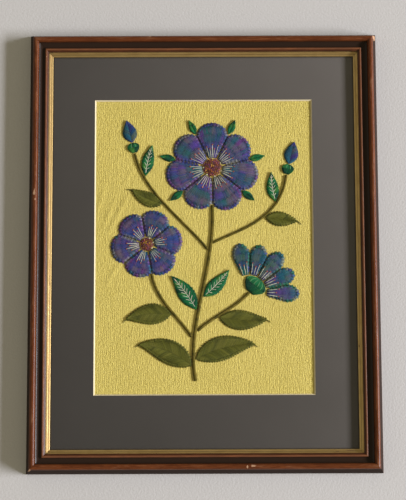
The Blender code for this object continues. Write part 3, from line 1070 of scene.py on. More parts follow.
@dataclass
class SilkPanel:
    """The crepe silk ground, stretched over its backing and crinkled all over."""

    material: bpy.types.Material
    puckers: Sequence[Pucker] = (
        Pucker(-98, 40, 62, 90, 9, 0.50),
        Pucker(-110, 38, 68, 60, 8, 0.42),
        Pucker(-104, -30, 60, 54, 9, 0.42),
        Pucker(-119, 56, 74, 60, 8, 0.42),
        Pucker(-86, 84, 60, 60, 9, 0.30),
        Pucker(92, 138, 8, 70, 10, 0.28),
    )
    columns: int = 400
    rows: int = 200
    margin: float = 4.0
    ease: float = 3.0
    crinkle: float = 0.47
    bends: tuple[float, ...] = (0.16, 0.13, 3.0, 1.5)
    layers: tuple[tuple[float, ...], ...] = (
        (0.66, 0.60, 0.0, 1.0), (1.2, 0.62, 9.0, 0.45), (0.3, 0.08, 20.0, 0.15)
    )

    def crinkles(self, x: float, y: float) -> float:
        """Returns the height of the crepe's fine, slightly tangled upright crinkles.

        A layer gives how often they change across and up, where its pattern starts
        and how strong it is. Bends give the same for the sway of the threads.

        Args:
            x: Distance to the right of the window's middle, in millimetres.
            y: Distance above it.
        """
        across, up, start, strength = self.bends
        bent = x + strength * noise.noise(Vector((x * across, y * up, start)))
        return self.crinkle * sum(
            strength * noise.noise(Vector((bent * across, y * up, start)))
            for across, up, start, strength in self.layers
        )

    def height(self, x: float, y: float) -> float:
        """Returns the height of the silk at a point of the window, in millimetres.

        Args:
            x: Distance to the right of the window's middle.
            y: Distance above it.
        """
        inside_x = WINDOW_WIDTH / 2 / MM - abs(x)
        inside_y = WINDOW_HEIGHT / 2 / MM - abs(y)
        inside = min(inside_x, inside_y) / self.ease
        swell = max(pucker.height(x, y) for pucker in self.puckers)
        return swell * limit(inside) + self.crinkles(x, y) * limit(inside + 0.4)

    def build(self) -> bpy.types.Object:
        """Makes the sheet: a fine grid in the window, flat where the mount holds it."""
        low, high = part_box("silk_ground")
        half_x = WINDOW_WIDTH / 2 / MM + self.margin
        half_y = WINDOW_HEIGHT / 2 / MM + self.margin
        shape = bmesh.new()
        bmesh.ops.create_grid(shape, x_segments=self.columns, y_segments=self.rows, size=1.0)
        for vert in shape.verts:
            x, y = half_x * vert.co.x, half_y * vert.co.y
            on_rim = max(abs(vert.co.x), abs(vert.co.y)) > 0.9999
            rise = 0.0 if on_rim else self.height(x, y)
            vert.co = (x * MM, y * MM + WINDOW_RISE, SILK_FRONT + rise * MM)
        for vert in self.grown_rim(shape):
            if abs(abs(vert.co.x) - half_x * MM) < 0.1 * MM:
                vert.co.x = math.copysign(high.x, vert.co.x)
            if abs(abs(vert.co.y - WINDOW_RISE) - half_y * MM) < 0.1 * MM:
                vert.co.y = math.copysign(high.y, vert.co.y)
        for vert in self.grown_rim(shape):
            vert.co.z = low.z
        piece = finish_piece(
            "silk_panel", closed(shape), [self.material], "silk_ground", 60
        )
        return piece

    def grown_rim(self, shape: bmesh.types.BMesh) -> list[bmesh.types.BMVert]:
        """Extrudes the open rim of the sheet.

        Args:
            shape: The sheet.

        Returns:
            The vertices of the new rim.
        """
        rim = [edge for edge in shape.edges if edge.is_boundary]
        grown = bmesh.ops.extrude_edge_only(shape, edges=rim)["geom"]
        return [part for part in grown if isinstance(part, bmesh.types.BMVert)]


def on_silk(x: float, y: float, z: float) -> Vector:
    """Turns millimetres from the window's middle into a point of the frame."""
    return Vector((x * MM, y * MM + WINDOW_RISE, STITCH_BASE + z * MM))


def ahead_of(x: float, y: float, heading: float, distance: float) -> Point:
    """Returns the point at a distance along a heading in degrees."""
    angle = math.radians(heading)
    return x + distance * math.cos(angle), y + distance * math.sin(angle)


@dataclass(frozen=True)
class Skein:
    """Threads of one shade family, from a form's root to its tip, and others in patches."""

    slot: str
    shades: tuple[Colour, ...]
    patches: tuple[Colour, ...] = ()
    patch_from: float = 0.10
    patch_size: float = 11.0
    seed: float = 0.0

    def pick(self, share: float, rng: random.Random, place: Vector | None = None) -> Colour:
        """Returns the colour of one thread.

        Args:
            share: Where it lies between the form's root and its tip.
            rng: What is random in the piece.
            place: Where it lies in the picture, in metres, to put it in a patch.
        """
        step = limit(share + rng.gauss(0, 0.07), 0.0, 0.999) * (len(self.shades) - 1)
        index = int(step)
        colour = blend(self.shades[index], self.shades[index + 1], step - index)
        if place is not None:
            spot = place / (self.patch_size * MM)
            for number, other in enumerate(self.patches):
                level = noise.noise(Vector((spot.x, spot.y, self.seed + 7.3 * number)))
                strength = (level - self.patch_from + rng.gauss(0, 0.08)) / 0.16
                colour = blend(colour, other, 0.85 * limit(strength))
        return lit(colour, rng.uniform(0.80, 1.18))


BLUE = Skein(
    "blue_thread",
    dyed((61, 51, 120), (59, 67, 134), (57, 76, 130), (64, 83, 137), (70, 92, 149)),
    dyed((28, 99, 115), (121, 51, 129), (98, 64, 164), (26, 106, 101), (118, 104, 112)),
)
VIOLET = Skein(
    "violet_thread",
    dyed((62, 48, 112), (64, 58, 130), (62, 66, 134), (70, 78, 142)),
    dyed((124, 52, 126), (44, 78, 150), (28, 98, 114), (122, 104, 112)), seed=31.0,
)
TEAL = Skein(
    "teal_thread",
    dyed((34, 58, 108), (30, 76, 116), (30, 96, 114), (40, 108, 126)),
    dyed((60, 68, 138), (24, 108, 80), (96, 66, 138), (96, 112, 98)), seed=57.0,
)
EMERALD = Skein(
    "emerald_thread",
    dyed((10, 84, 48), (16, 108, 60), (26, 128, 72), (40, 140, 84)),
    dyed((70, 134, 52), (10, 66, 50)), 0.14, 6.0,
)
OLIVE = Skein(
    "olive_thread",
    dyed((92, 94, 27), (106, 107, 32), (116, 116, 39), (104, 105, 32)),
    dyed((118, 116, 42), (88, 91, 27)), 0.16, 8.0,
)
BARK = Skein(
    "olive_thread", dyed((98, 86, 14), (110, 96, 20), (102, 92, 16)),
    dyed((84, 76, 12), (124, 108, 34)), 0.12, 6.0,
)
MINT = Skein("emerald_thread", dyed((84, 146, 92), (104, 160, 106), (120, 170, 116)))
EDGE_BLUE = Skein(
    "blue_thread", dyed((58, 62, 122), (66, 72, 132), (78, 84, 146)),
    dyed((52, 110, 128), (118, 74, 132), (136, 136, 130)), 0.12, 8.0, 11.0,
)
EDGE_GREEN = Skein(
    "teal_thread", dyed((34, 84, 94), (44, 100, 108), (56, 108, 122)),
    dyed((72, 76, 138), (40, 118, 84), (136, 140, 122)), 0.12, 8.0, 17.0,
)
PALE = Skein(
    "orange_thread", dyed((246, 244, 216), (238, 238, 206), (228, 224, 188)),
    dyed((236, 214, 170)),
)
ROSE = Skein(
    "orange_thread", dyed((196, 112, 56), (190, 100, 76), (176, 96, 100)),
    dyed((208, 164, 70), (112, 68, 46), (120, 60, 110)), 0.05, 2.0, 23.0,
)


def thread_tube(segments: int, sides: int = 5) -> bpy.types.Mesh:
    """Returns a straight round tube with one ring a metre, to be copied and bent.

    Args:
        segments: How many segments it has.
        sides: How many sides each ring has.
    """
    shape = bmesh.new()
    bmesh.ops.create_circle(shape, cap_ends=True, radius=1.0, segments=sides)
    for vert in shape.verts:
        vert.co = (0.0, vert.co.x, vert.co.y)
    face = shape.faces[:][0]
    for _ in range(segments):
        face = bmesh.ops.extrude_discrete_faces(shape, faces=[face])["faces"][0]
        bmesh.ops.translate(shape, vec=(1, 0, 0), verts=face.verts[:])
    return kept("thread_tube", closed(shape))


def knot_coil(turn_radius: float = 0.56, thread_radius: float = 0.40) -> bpy.types.Mesh:
    """Returns a thread wound twice round, for a knot of radius 1, to be copied.

    Args:
        turn_radius: Radius of the lower turn.
        thread_radius: Radius of the thread.
    """
    shape = bmesh.new()
    for radius, height in ((turn_radius, 0.36), (turn_radius * 0.55, 0.86)):
        ring = bmesh.ops.create_circle(shape, radius=thread_radius, segments=5)["verts"]
        for vert in ring:
            vert.co = (radius + vert.co.x, 0.0, height + vert.co.y)
        edges = dict.fromkeys(edge for vert in ring for edge in vert.link_edges)
        bmesh.ops.spin(
            shape, geom=[*ring, *edges], cent=(0, 0, 0), axis=(0, 0, 1),
            angle=math.tau, steps=8, use_merge=True,
        )
    return kept("knot_coil", closed(shape))


def low_dome(sides: int = 20, rings: int = 10) -> bpy.types.Mesh:
    """Returns the upper half of a ball, closed below, to be copied.

    Args:
        sides: How many sides it has round its foot.
        rings: How many rings the whole ball has.
    """
    shape = bmesh.new()
    bmesh.ops.create_uvsphere(shape, u_segments=sides, v_segments=rings, radius=1.0)
    bmesh.ops.bisect_plane(
        shape, geom=shape.verts[:] + shape.edges[:] + shape.faces[:],
        plane_co=(0, 0, 0), plane_no=(0, 0, 1), clear_inner=True,
    )
    return kept("low_dome", closed(shape))


TUBES = {segments: thread_tube(segments) for segments in (3, 5, 7)}
TUBE_SPOTS = {
    segments: [(round(vert.co.x), vert.co.y, vert.co.z) for vert in tube.vertices]
    for segments, tube in TUBES.items()
}
KNOT = knot_coil()
DOME = low_dome()


@dataclass
class PaddedForm:
    """A padded shape along a straight or bending line, as its solid is, in millimetres.

    Each kind of form says how wide, how high and how deeply grooved it is.
    """

    name: str
    x: float
    y: float
    heading: float
    length: float
    width: float = 0.0
    bend: float = 0.0
    fill: float = 0.8
    reach: float = 0.995
    lift: float = 0.0
    end_round: float = 1.6
    rings_of_solid: int = 8
    edge_height: float = 0.7
    crown_height: float = 2.2
    groove: float = 0.2

    def half_width(self, share: float) -> float:
        """Returns half the width at a share of the length."""
        return self.width / 2

    def crown(self, share: float) -> float:
        """Returns the height of the middle line at a share of the length."""
        swell = math.sin(math.pi * (0.1 + 0.9 * share)) ** 0.6 if share < 1 else 0.0
        return self.edge_height + (self.crown_height - self.edge_height) * swell

    def dip(self, share: float) -> float:
        """Returns how far the middle line is sunk at a share of the length."""
        return self.groove

    def line(self, share: float) -> tuple[float, float, float]:
        """Returns the place and the angle of the middle line at a share of its length.

        Args:
            share: The share, from 0 at the root to the form's reach.
        """
        turn = math.radians(self.bend) or 1e-6
        start = math.radians(self.heading) + turn / (2 * self.rings_of_solid)
        radius = self.length * self.reach / turn
        angle = start + share / self.reach * turn
        x = self.x + radius * (math.sin(angle) - math.sin(start))
        y = self.y - radius * (math.cos(angle) - math.cos(start))
        return x, y, angle

    def height(self, share: float, across: float) -> float:
        """Returns the height of the padding at a share of its length and half width.

        Args:
            share: Share of the length.
            across: Share of the half width, less than 0 on the right.
        """
        out = min(abs(across), 1.0)
        swell = self.crown(limit(share)) * (1 - out ** 3) ** 0.5
        to_end = min((1 - share) * self.length, share * self.length + 0.4) / self.end_round
        swell *= limit(to_end) ** 0.5
        groove = self.dip(share) * max(0.0, 1 - (out / 0.55) ** 2) ** 2
        return max(swell - groove, 0.0) + self.lift * max(share, 0.0) ** 4

    def raised(self, share: float, aside: float, across: float, proud: float) -> Vector:
        """Returns a point of the frame over the form.

        Args:
            share: Where it is along the length.
            aside: How far from the middle line it is, in millimetres.
            across: The same as a share of the half width, to read the height at.
            proud: How far above the padding it is, in millimetres.
        """
        x, y, angle = self.line(share)
        z = self.height(share, across) + proud
        return on_silk(x - aside * math.sin(angle), y + aside * math.cos(angle), z)

    def spot(self, share: float, across: float, proud: float = 0.0) -> Vector:
        """Returns the point of the frame at a share of the length and half width."""
        aside = across * self.half_width(limit(share, 0.0, self.reach))
        return self.raised(share, aside, across, proud)

    def spot_at(self, ahead: float, aside: float, proud: float = 0.0) -> Vector:
        """Returns the point at a distance along a straight form and a distance aside.

        Args:
            ahead: Distance from the root, in millimetres.
            aside: Distance to the left.
            proud: How far above the padding it is.
        """
        share = ahead / self.length
        half = self.half_width(limit(share, 0.0, self.reach))
        return self.raised(share, aside, aside / max(half, 0.2), proud)

    def outline(self, start: float, steps: int = 60) -> list[Point]:
        """Returns the edge of a straight form, from the root round the tip and back.

        Args:
            start: Share of the length at which it begins and ends.
            steps: How many points lie on either side.

        Returns:
            Rows of the distance along the form and the distance aside.
        """
        turns = (math.sin(math.pi / 2 * index / steps) for index in range(steps + 1))
        shares = [start + (self.reach - start) * turn for turn in turns]
        right = [(share * self.length, -self.half_width(share)) for share in shares]
        return right + [(ahead, -aside) for ahead, aside in reversed(right)]


@dataclass
class LeafForm(PaddedForm):
    """A leaf, sepal or bud: pointed, with a sunk midrib and a lifted tip."""

    fill: float = 0.6
    reach: float = 0.985
    lift: float = 0.9
    end_round: float = 1.0
    crown_height: float = 1.5
    groove: float = 0.5

    def swell(self, share: float) -> float:
        """Returns the width at a share of the length, as a share of the widest."""
        return math.sin(math.pi * limit(share) ** 0.8)

    def half_width(self, share: float) -> float:
        """Returns half the width at a share of the length, or that of the stalk."""
        return max(self.width / 2 * self.swell(share), LEAF_STALK / 2 * (1 - 0.6 * share))

    def crown(self, share: float) -> float:
        """Returns the height of the middle line at a share of the length."""
        return self.edge_height + (self.crown_height - self.edge_height) * self.swell(share)

    def dip(self, share: float) -> float:
        """Returns how far the midrib is sunk at a share of the length."""
        return self.groove * self.swell(share)


@dataclass
class PetalForm(PaddedForm):
    """A petal that fans out from its bloom's middle and has a round tip."""

    reach: float = 0.998
    root: float = 0.0
    half_step: float = 0.0
    parting: float = 0.35
    shoulder: float = 0.62
    waist: float = 0.90

    def half_width(self, share: float) -> float:
        """Returns half the width: straight sides to the shoulder, then a round tip.

        Args:
            share: Share of the length.
        """
        slope = math.tan(math.radians(self.half_step))
        if share < self.shoulder:
            waist = self.waist + (1 - self.waist) * share / self.shoulder
            return ((self.root + share * self.length) * slope - self.parting) * waist
        widest = (self.root + self.shoulder * self.length) * slope - self.parting
        round_off = min((share - self.shoulder) / (1 - self.shoulder), 1.0)
        return widest * math.sqrt(1 - round_off ** 2)

    def fanned(self, radius: float, angle: float) -> Point:
        """Returns how far ahead of the root and how far aside a point of the fan lies."""
        return radius * math.cos(angle) - self.root, radius * math.sin(angle)

    def holds(self, radius: float, angle: float, inset: float) -> bool:
        """Tells whether a point of the fan lies inside the outline by an inset.

        Args:
            radius: Distance from the bloom's middle, in millimetres.
            angle: Angle from the petal's middle line, in radians.
            inset: How far inside the outline it has to lie.
        """
        ahead, aside = self.fanned(radius, angle)
        share = ahead / self.length
        if not 0 <= share <= 1 - inset / self.length:
            return share < 0 and abs(aside) < self.half_width(0)
        return abs(aside) < self.half_width(share) - inset


@dataclass
class CupForm(PaddedForm):
    """A cup: narrow at its foot and broad near its rim."""

    def half_width(self, share: float) -> float:
        """Returns half the width at a share of the length."""
        return self.width / 2 * math.sin(math.pi * min(0.22 + 0.78 * share, 0.9995) ** 1.7) ** 0.7


@dataclass
class StemForm(PaddedForm):
    """A half-round stem along a curve."""

    fill: float = 0.9
    reach: float = 1.0
    end_round: float = 0.8
    crown_height: float = 1.4
    groove: float = 0.0
    points: list[Point] = field(default_factory=list)

    def crown(self, share: float) -> float:
        """Returns the height of the stem, the same all along."""
        return self.crown_height

    def line(self, share: float) -> tuple[float, float, float]:
        """Returns the place and the angle of the stem at a share of its points.

        Args:
            share: The share, from 0 to 1.
        """
        place = limit(share, 0.0, 0.9999) * (len(self.points) - 1)
        index = int(place)
        start, end = self.points[index], self.points[index + 1]
        x, y = blend(start, end, place - index)
        return x, y, math.atan2(end[1] - start[1], end[0] - start[0])


@dataclass
class HeartForm(PaddedForm):
    """A low round heart of a bloom. Its length is its radius."""

    fill: float = 0.9
    crown_height: float = 2.8


@dataclass(frozen=True)
class Thread:
    """A thread's width and height, and the distance of two threads as a share of the width."""

    width: float
    height: float
    spread: float


FINE = Thread(0.62, 0.50, 0.90)
SOFT = Thread(1.0, 0.6, 1.05)
STOUT = Thread(1.5, 0.75, 1.15)


@dataclass(frozen=True)
class Trim:
    """Sizes of the finest stitches, in millimetres, degrees and shares.

    The padding's foot and rim are heights over the silk. The ends of the edge's and
    the leaf's threads are heights over the plane that stitches are measured from.
    """

    pad_foot: float = -0.12
    pad_rim: float = 0.02
    edge_end: float = -0.02
    leaf_end: float = -0.05
    purl_width: float = 0.42
    purl_rise: float = 0.02
    midrib_width: float = 0.66
    vein_width: float = 0.5
    ray_angle: float = 7.5
    ray_lengths: Point = (14.0, 10.5)
    hook_step: float = 1.25
    # painted shade: how dark a thread is at its ends, where it dives into the padding, and a knot
    # at its foot
    end_shade: float = 0.72
    knot_foot_shade: float = 0.75
    dome_spread: float = 0.95
    dome_sunk: float = 0.5
    knot_cover: float = 0.74


TRIM = Trim()


@dataclass(frozen=True)
class Edging:
    """Sizes of a bound edge, in millimetres where they aren't shares.

    Start is the share of the length at which it begins and ends, leg the length of
    its longer legs and tooth the distance between two teeth. Bold is how bright the
    legs at the teeth are painted against those between them: above 1 a painted
    highlight on the teeth, below 1 painted shade on them. Reach is how far a tooth
    stands out as a share of that distance, and knob how much thicker than the
    others the leg at a tooth is.
    """

    start: float
    leg: float
    bold: float
    tooth: float
    reach: float
    knob: float


# bold 1.6 paints highlights on the petals' teeth, bold 0.9 paints shade on the leaves' teeth
PETAL_EDGE = Edging(0.10, 3.3, 1.6, 4.2, 0.30, 0.0)
LEAF_EDGE = Edging(0.04, 2.0, 0.9, 3.1, 0.46, 0.9)


class Needle:
    """Stitches one piece: lays its padding, its threads and its knots in one mesh."""

    def __init__(self, form: PaddedForm, skein: Skein, thread: Thread = FINE) -> None:
        """Starts a piece.

        Args:
            form: The padded shape, whose name also seeds what is random in the piece.
            skein: The threads that cover it.
            thread: Their size.
        """
        self.form = form
        self.skein = skein
        self.thread = thread
        self.spacing = thread.width * thread.spread
        self.rng = random.Random(form.name)
        self.mesh = bmesh.new()
        self.colour_layer = self.mesh.verts.layers.float_color.new("thread_colour")
        self.run_layer = self.mesh.verts.layers.float_vector.new("thread_run")

    def add_copy(self, shape: bpy.types.Mesh) -> list[bmesh.types.BMVert]:
        """Adds a copy of a small mesh, with its vertices in their order.

        Args:
            shape: The mesh to copy.

        Returns:
            The copy's vertices.
        """
        self.mesh.from_mesh(shape)
        self.mesh.verts.ensure_lookup_table()
        return self.mesh.verts[-len(shape.vertices):]

    def lay(
        self, path: Sequence[Vector], colour: Colour, end_colour: Colour | None = None,
        thick: float = 1.0, taper: float = 0.55,
    ) -> None:
        """Lays one thread along a path of 4, 6 or 8 points.

        Args:
            path: Points that the middle of the thread follows, in metres.
            colour: Its colour where it starts.
            end_colour: Its colour where it ends, if that is another.
            thick: Its thickness, as a share of the usual one.
            taper: Its thickness at both ends, as a share of that in its middle.
        """
        last = len(path) - 1
        rings, run = [], self.rng.uniform(0, 50)
        for index, point in enumerate(path):
            ahead = (path[min(index + 1, last)] - path[max(index - 1, 0)]).normalized()
            side = UP.cross(ahead).normalized()
            up = ahead.cross(side)
            swell = taper + (1 - taper) * math.sin(math.pi * (index + 0.35) / (last + 0.7)) ** 0.5
            scale = thick * swell * MM / 2
            if index:
                run += (point - path[index - 1]).length / MM
            shade = blend(colour, end_colour or colour, index / last)
            # painted shade at both ends of the thread
            shade = (*lit(shade, TRIM.end_shade if index in (0, last) else 1.0), 1.0)
            wide, high = side * self.thread.width * scale, up * self.thread.height * scale
            rings.append((point, wide, high, run, shade))
        for vert, (ring, across, above) in zip(self.add_copy(TUBES[last]), TUBE_SPOTS[last]):
            point, side, up, run, shade = rings[ring]
            vert.co = point + side * across + up * above
            vert[self.colour_layer] = shade
            vert[self.run_layer] = (run, across, above)

    def shade(self, vert: bmesh.types.BMVert, colour: Sequence[float], bright: float = 1.0) -> None:
        """Colours one vertex and gives it a place in the fibres' pattern."""
        vert[self.colour_layer] = (*lit(colour, bright), 1.0)
        vert[self.run_layer] = vert.co / MM

    def pad(self, columns: int = 8, sunk: float = 0.16) -> None:
        """Lays the closed padding under the threads of the form.

        Args:
            columns: How many faces it has across.
            sunk: How far below the threads' middle it lies, in millimetres.
        """
        form, shades = self.form, self.skein.shades
        rows = max(6, round(form.length / 3))
        bottoms = bmesh.ops.create_grid(
            self.mesh, x_segments=columns, y_segments=rows, size=1.0
        )["verts"]
        faces = list(dict.fromkeys(face for vert in bottoms for face in vert.link_faces))
        grown = bmesh.ops.extrude_face_region(self.mesh, geom=faces)["geom"]
        tops = [part for part in grown if isinstance(part, bmesh.types.BMVert)]
        for verts, is_top in ((bottoms, False), (tops, True)):
            for vert in verts:
                share = form.reach * math.sin(math.pi / 2 * (vert.co.y + 1) / 2)
                across = 0.98 * math.sin(math.pi / 2 * vert.co.x)
                # painted shade: the padding is coloured darker than its threads, so the gaps
                # between threads look shaded
                self.shade(vert, blend(shades[0], shades[-1], share), 0.55)
                vert.co = form.spot(share, across, -sunk)
                if not is_top or vert.co.z < SILK_FRONT:
                    vert.co.z = SILK_FRONT + (TRIM.pad_rim if is_top else TRIM.pad_foot) * MM
        bmesh.ops.recalc_face_normals(self.mesh, faces=self.mesh.faces[:])

    def along_path(self, start: Point, end: Point, proud: float = 0.0) -> list[Vector]:
        """Returns a thread's path over the form: sunk at both ends, proud between them.

        Args:
            start: Share of the length and of the half width where it starts.
            end: The same where it ends.
            proud: How far it is lifted above the usual path, in millimetres.
        """
        path = []
        for part in PARTS:
            rise = 0.20 - 0.42 * (2 * part - 1) ** 6
            path.append(self.form.spot(*blend(start, end, part), rise) + UP * proud * MM)
        return path

    def radial_rows(self, inset: float = 1.2) -> None:
        """Fills a petal with long and short stitches that fan out from the bloom's middle.

        Args:
            inset: How far inside its outline the stitches end.
        """
        form = self.form
        bounds = (0.0, 0.27, 0.50, 0.72, 0.93)
        for row, (low, high) in enumerate(zip(bounds, bounds[1:])):
            step = self.spacing / (form.root + (low + high) / 2 * form.length)
            count = int(math.radians(form.half_step) / step)
            for number in range(-count, count + 1):
                angle = (number + self.rng.uniform(-0.15, 0.15)) * step
                more, further = (0.11, 0.05) if number % 2 == 0 else (0.03, -0.04)
                first = low - more + self.rng.uniform(-0.02, 0.02)
                final = high + further + self.rng.uniform(-0.03, 0.03)
                near = max(form.root + first * form.length, form.root + 0.2)
                far = form.root + final * form.length
                while far > near + 1.5 and not form.holds(far, angle, inset):
                    far -= 0.5
                if far - near < 2.0 or not form.holds(near, angle, 0.2):
                    continue
                path = []
                for part in PARTS:
                    proud = 0.18 + 0.06 * row / 3 - 0.40 * (2 * part - 1) ** 6
                    place = form.fanned(near + (far - near) * part, angle)
                    path.append(form.spot_at(*place, proud))
                tone = self.skein.pick(low, self.rng, path[0])
                self.lay(path, tone, blend(tone, self.skein.pick(high, self.rng, path[-1]), 0.6))

    def buttonhole_edge(self, skein: Skein, edging: Edging) -> None:
        """Binds the form's edge with legs and a purl that has a tooth at every few of them.

        Args:
            skein: The edging's threads.
            edging: Its sizes.
        """
        form, tooth, bold = self.form, edging.tooth, edging.bold
        pitch = tooth / round(tooth)
        outline = form.outline(edging.start)
        spots: list[tuple[float, ...]] = []
        travelled, due = 0.0, 0.0
        for first, second in zip(outline, outline[1:]):
            step = math.dist(first, second)
            while step > 0 and due <= travelled + step:
                ahead, aside = blend(first, second, (due - travelled) / step)
                run_x, run_y = (second[0] - first[0]) / step, (second[1] - first[1]) / step
                spots.append((ahead, aside, run_y, -run_x))
                due += pitch
            travelled += step
        ends = []
        for index, (ahead, aside, out_x, out_y) in enumerate(spots):
            longer, thicker = (1.0, 1.25) if index % 2 == 0 else (0.72, 1.0)
            inner = edging.leg * (longer + self.rng.uniform(-0.09, 0.09))
            crest = 0.5 + 0.5 * math.cos(math.tau * index * pitch / tooth)
            outer = edging.reach * tooth * crest
            colour = skein.pick(index / len(spots), self.rng, form.spot_at(ahead, aside))
            # painted light on the legs at the teeth: a highlight where bold is above 1, shade where
            # it is below 1
            colour = lit(colour, 1.1 / bold + (bold - 1.1 / bold) * crest)
            path = []
            for part in PARTS:
                off = -inner + (inner + outer) * part
                proud = 0.34 - 0.50 * (1 - part) ** 8 - 0.30 * part ** 6
                path.append(form.spot_at(ahead + out_x * off, aside + out_y * off, proud))
            path[-1].z = STITCH_BASE + TRIM.edge_end * MM
            thick = thicker * FINE.width / self.thread.width * (1 + edging.knob * crest)
            self.lay(path, colour, thick=thick, taper=0.55 + 0.5 * edging.knob * crest)
            ends.append((path[-1], colour))
        for (first, colour), (second, _) in zip(ends, ends[1:]):
            middle = (first + second) / 2
            path = [first, first.lerp(middle, 0.66), second.lerp(middle, 0.66), second]
            path = [point + UP * TRIM.purl_rise * MM for point in path]
            self.lay(path, colour, thick=TRIM.purl_width / self.thread.width, taper=0.8)

    def fishbone(self, cover: float, slant: float = 0.95) -> None:
        """Fills a leaf with stitches that run from its midrib forward to its edge.

        Args:
            cover: How far to the side the stitches reach, as a share of the half width.
            slant: How far forward a stitch runs, as a share of its reach to the side.
        """
        form = self.form
        count = round(form.length * 1.06 / self.spacing)
        for number in range(count + 1):
            edge_share = form.reach * number / count
            half = form.half_width(edge_share)
            root_share = max(0.004, edge_share - slant * half / form.length)
            for hand in (1, -1):
                jitter = self.rng.uniform(-0.3, 0.3) / form.length
                start = (root_share + jitter, -0.07 * hand)
                reach = cover + self.rng.uniform(-0.03, 0.05)
                end = (min(edge_share + jitter, form.reach), reach * hand)
                path = []
                for part in PARTS:
                    share, across = blend(start, end, part ** 0.85)[0], blend(start, end, part)[1]
                    path.append(form.spot(share, across, 0.20 - 0.40 * abs(2 * part - 1) ** 5))
                tip_rise = form.lift * edge_share ** 4 * MM
                path[-1].z = max(path[-1].z, STITCH_BASE + TRIM.leaf_end * MM + tip_rise)
                tone = edge_share * 0.6 + (0.3 if hand > 0 else 0.0)
                colour = self.skein.pick(tone, self.rng, path[2])
                self.lay(path, colour, lit(colour, 0.92))

    def veins(self, skein: Skein, step: float = 4.6) -> None:
        """Adds pale stitches along a leaf's midrib, and pairs of side veins.

        Args:
            skein: Their threads.
            step: Distance between two stitches, in millimetres.
        """
        form, width = self.form, self.thread.width
        count = max(2, round(0.90 * form.length / step))
        for number in range(count):
            share = 0.05 + 0.85 * number / count
            tip = min(share + 1.08 * 0.85 / count, 0.95)
            start, end = form.spot(share, 0), form.spot(tip, 0)
            lift = (0.1, 0.42, 0.5, 0.5, 0.42, 0.1)
            path = [start.lerp(end, part) + UP * rise * MM for part, rise in zip(PARTS, lift)]
            self.lay(path, skein.pick(share, self.rng), thick=TRIM.midrib_width / width)
            if 0.1 < share < 0.8:
                for hand in (1, -1):
                    out = 0.58 + self.rng.uniform(-0.08, 0.08)
                    ahead = 0.62 * form.half_width(share) / form.length
                    path = self.along_path((share, 0.03 * hand), (share + ahead, out * hand), 0.3)
                    colour = skein.pick(share, self.rng)
                    self.lay(path, colour, thick=TRIM.vein_width / width)

    def lengthwise(self, pale: Skein) -> None:
        """Covers a cup with satin stitches from its foot to its rim, a few of them paler.

        Args:
            pale: Threads of the paler ones.
        """
        widest = max(self.form.half_width(index / 20) for index in range(1, 20))
        count = round(widest / self.spacing)
        for number in range(-count, count + 1):
            across = 0.98 * number / count
            for low, high in ((0.02, 0.56), (0.46, 0.97)):
                start = low + self.rng.uniform(-0.02, 0.03)
                end = high + self.rng.uniform(-0.04, 0.02)
                path = self.along_path((start, across), (end, across))
                family = pale if number % 5 == 2 and low > 0.1 else self.skein
                self.lay(path, family.pick(low, self.rng, path[0]))

    def wraps(self, slant: float = 0.35) -> None:
        """Wraps a stem closely, each turn a little aslant.

        Args:
            slant: How far a turn leans ahead, as a share of the thread's width.
        """
        form = self.form
        count = round(form.length / self.spacing)
        for number in range(count + 1):
            share = number / count
            lean = slant * self.thread.width / form.length
            lean += self.rng.uniform(-0.2, 0.2) / form.length
            path = []
            for part in PARTS:
                across = -1.04 * math.cos(math.pi * part)
                path.append(form.spot(limit(share + lean * (2 * part - 1)), across, 0.10))
            wave = 0.5 + 0.5 * math.sin(share * 11 + len(form.name))
            self.lay(path, self.skein.pick(0.2 + 0.7 * wave, self.rng, path[0]), taper=0.85)

    def rays(self, count: int) -> None:
        """Adds loose pale stitches with a knot at the end, from a bloom's heart outwards.

        Args:
            count: How many of them there are.
        """
        form = self.form
        for number in range(count):
            angle = math.radians(TRIM.ray_angle) * (number - (count - 1) / 2)
            angle += self.rng.uniform(-0.02, 0.02)
            far = TRIM.ray_lengths[number % 2] + self.rng.uniform(-1, 1)
            path = []
            for part in PARTS:
                place = form.fanned(form.root + 0.4 + far * part, angle)
                path.append(form.spot_at(*place, 0.50 - 0.25 * (2 * part - 1) ** 4))
            self.lay(path, PALE.pick(number / count, self.rng), thick=0.85)
            self.knot(path[-1] + UP * 0.1 * MM, ROSE.pick(self.rng.random(), self.rng), 0.85)

    def knot(self, place: Vector, colour: Colour, radius: float) -> None:
        """Ties a knot of two turns at a place.

        Args:
            place: Its foot, in metres.
            colour: Its colour.
            radius: Its radius, in millimetres.
        """
        turn = self.rng.uniform(0, math.tau)
        tilt_x, tilt_y = self.rng.uniform(-0.25, 0.25), self.rng.uniform(-0.25, 0.25)
        for vert in self.add_copy(KNOT):
            x, y, z = vert.co
            vert[self.run_layer] = (math.atan2(y, x) * radius, math.hypot(x, y), z)
            # painted shade at the knot's foot
            bright = TRIM.knot_foot_shade if z < 0.3 else 1.0
            vert[self.colour_layer] = (*lit(colour, bright), 1.0)
            x, y = x * math.cos(turn) - y * math.sin(turn), x * math.sin(turn) + y * math.cos(turn)
            z += x * tilt_x + y * tilt_y
            vert.co = place + Vector((x, y, z * 0.85)) * radius * MM

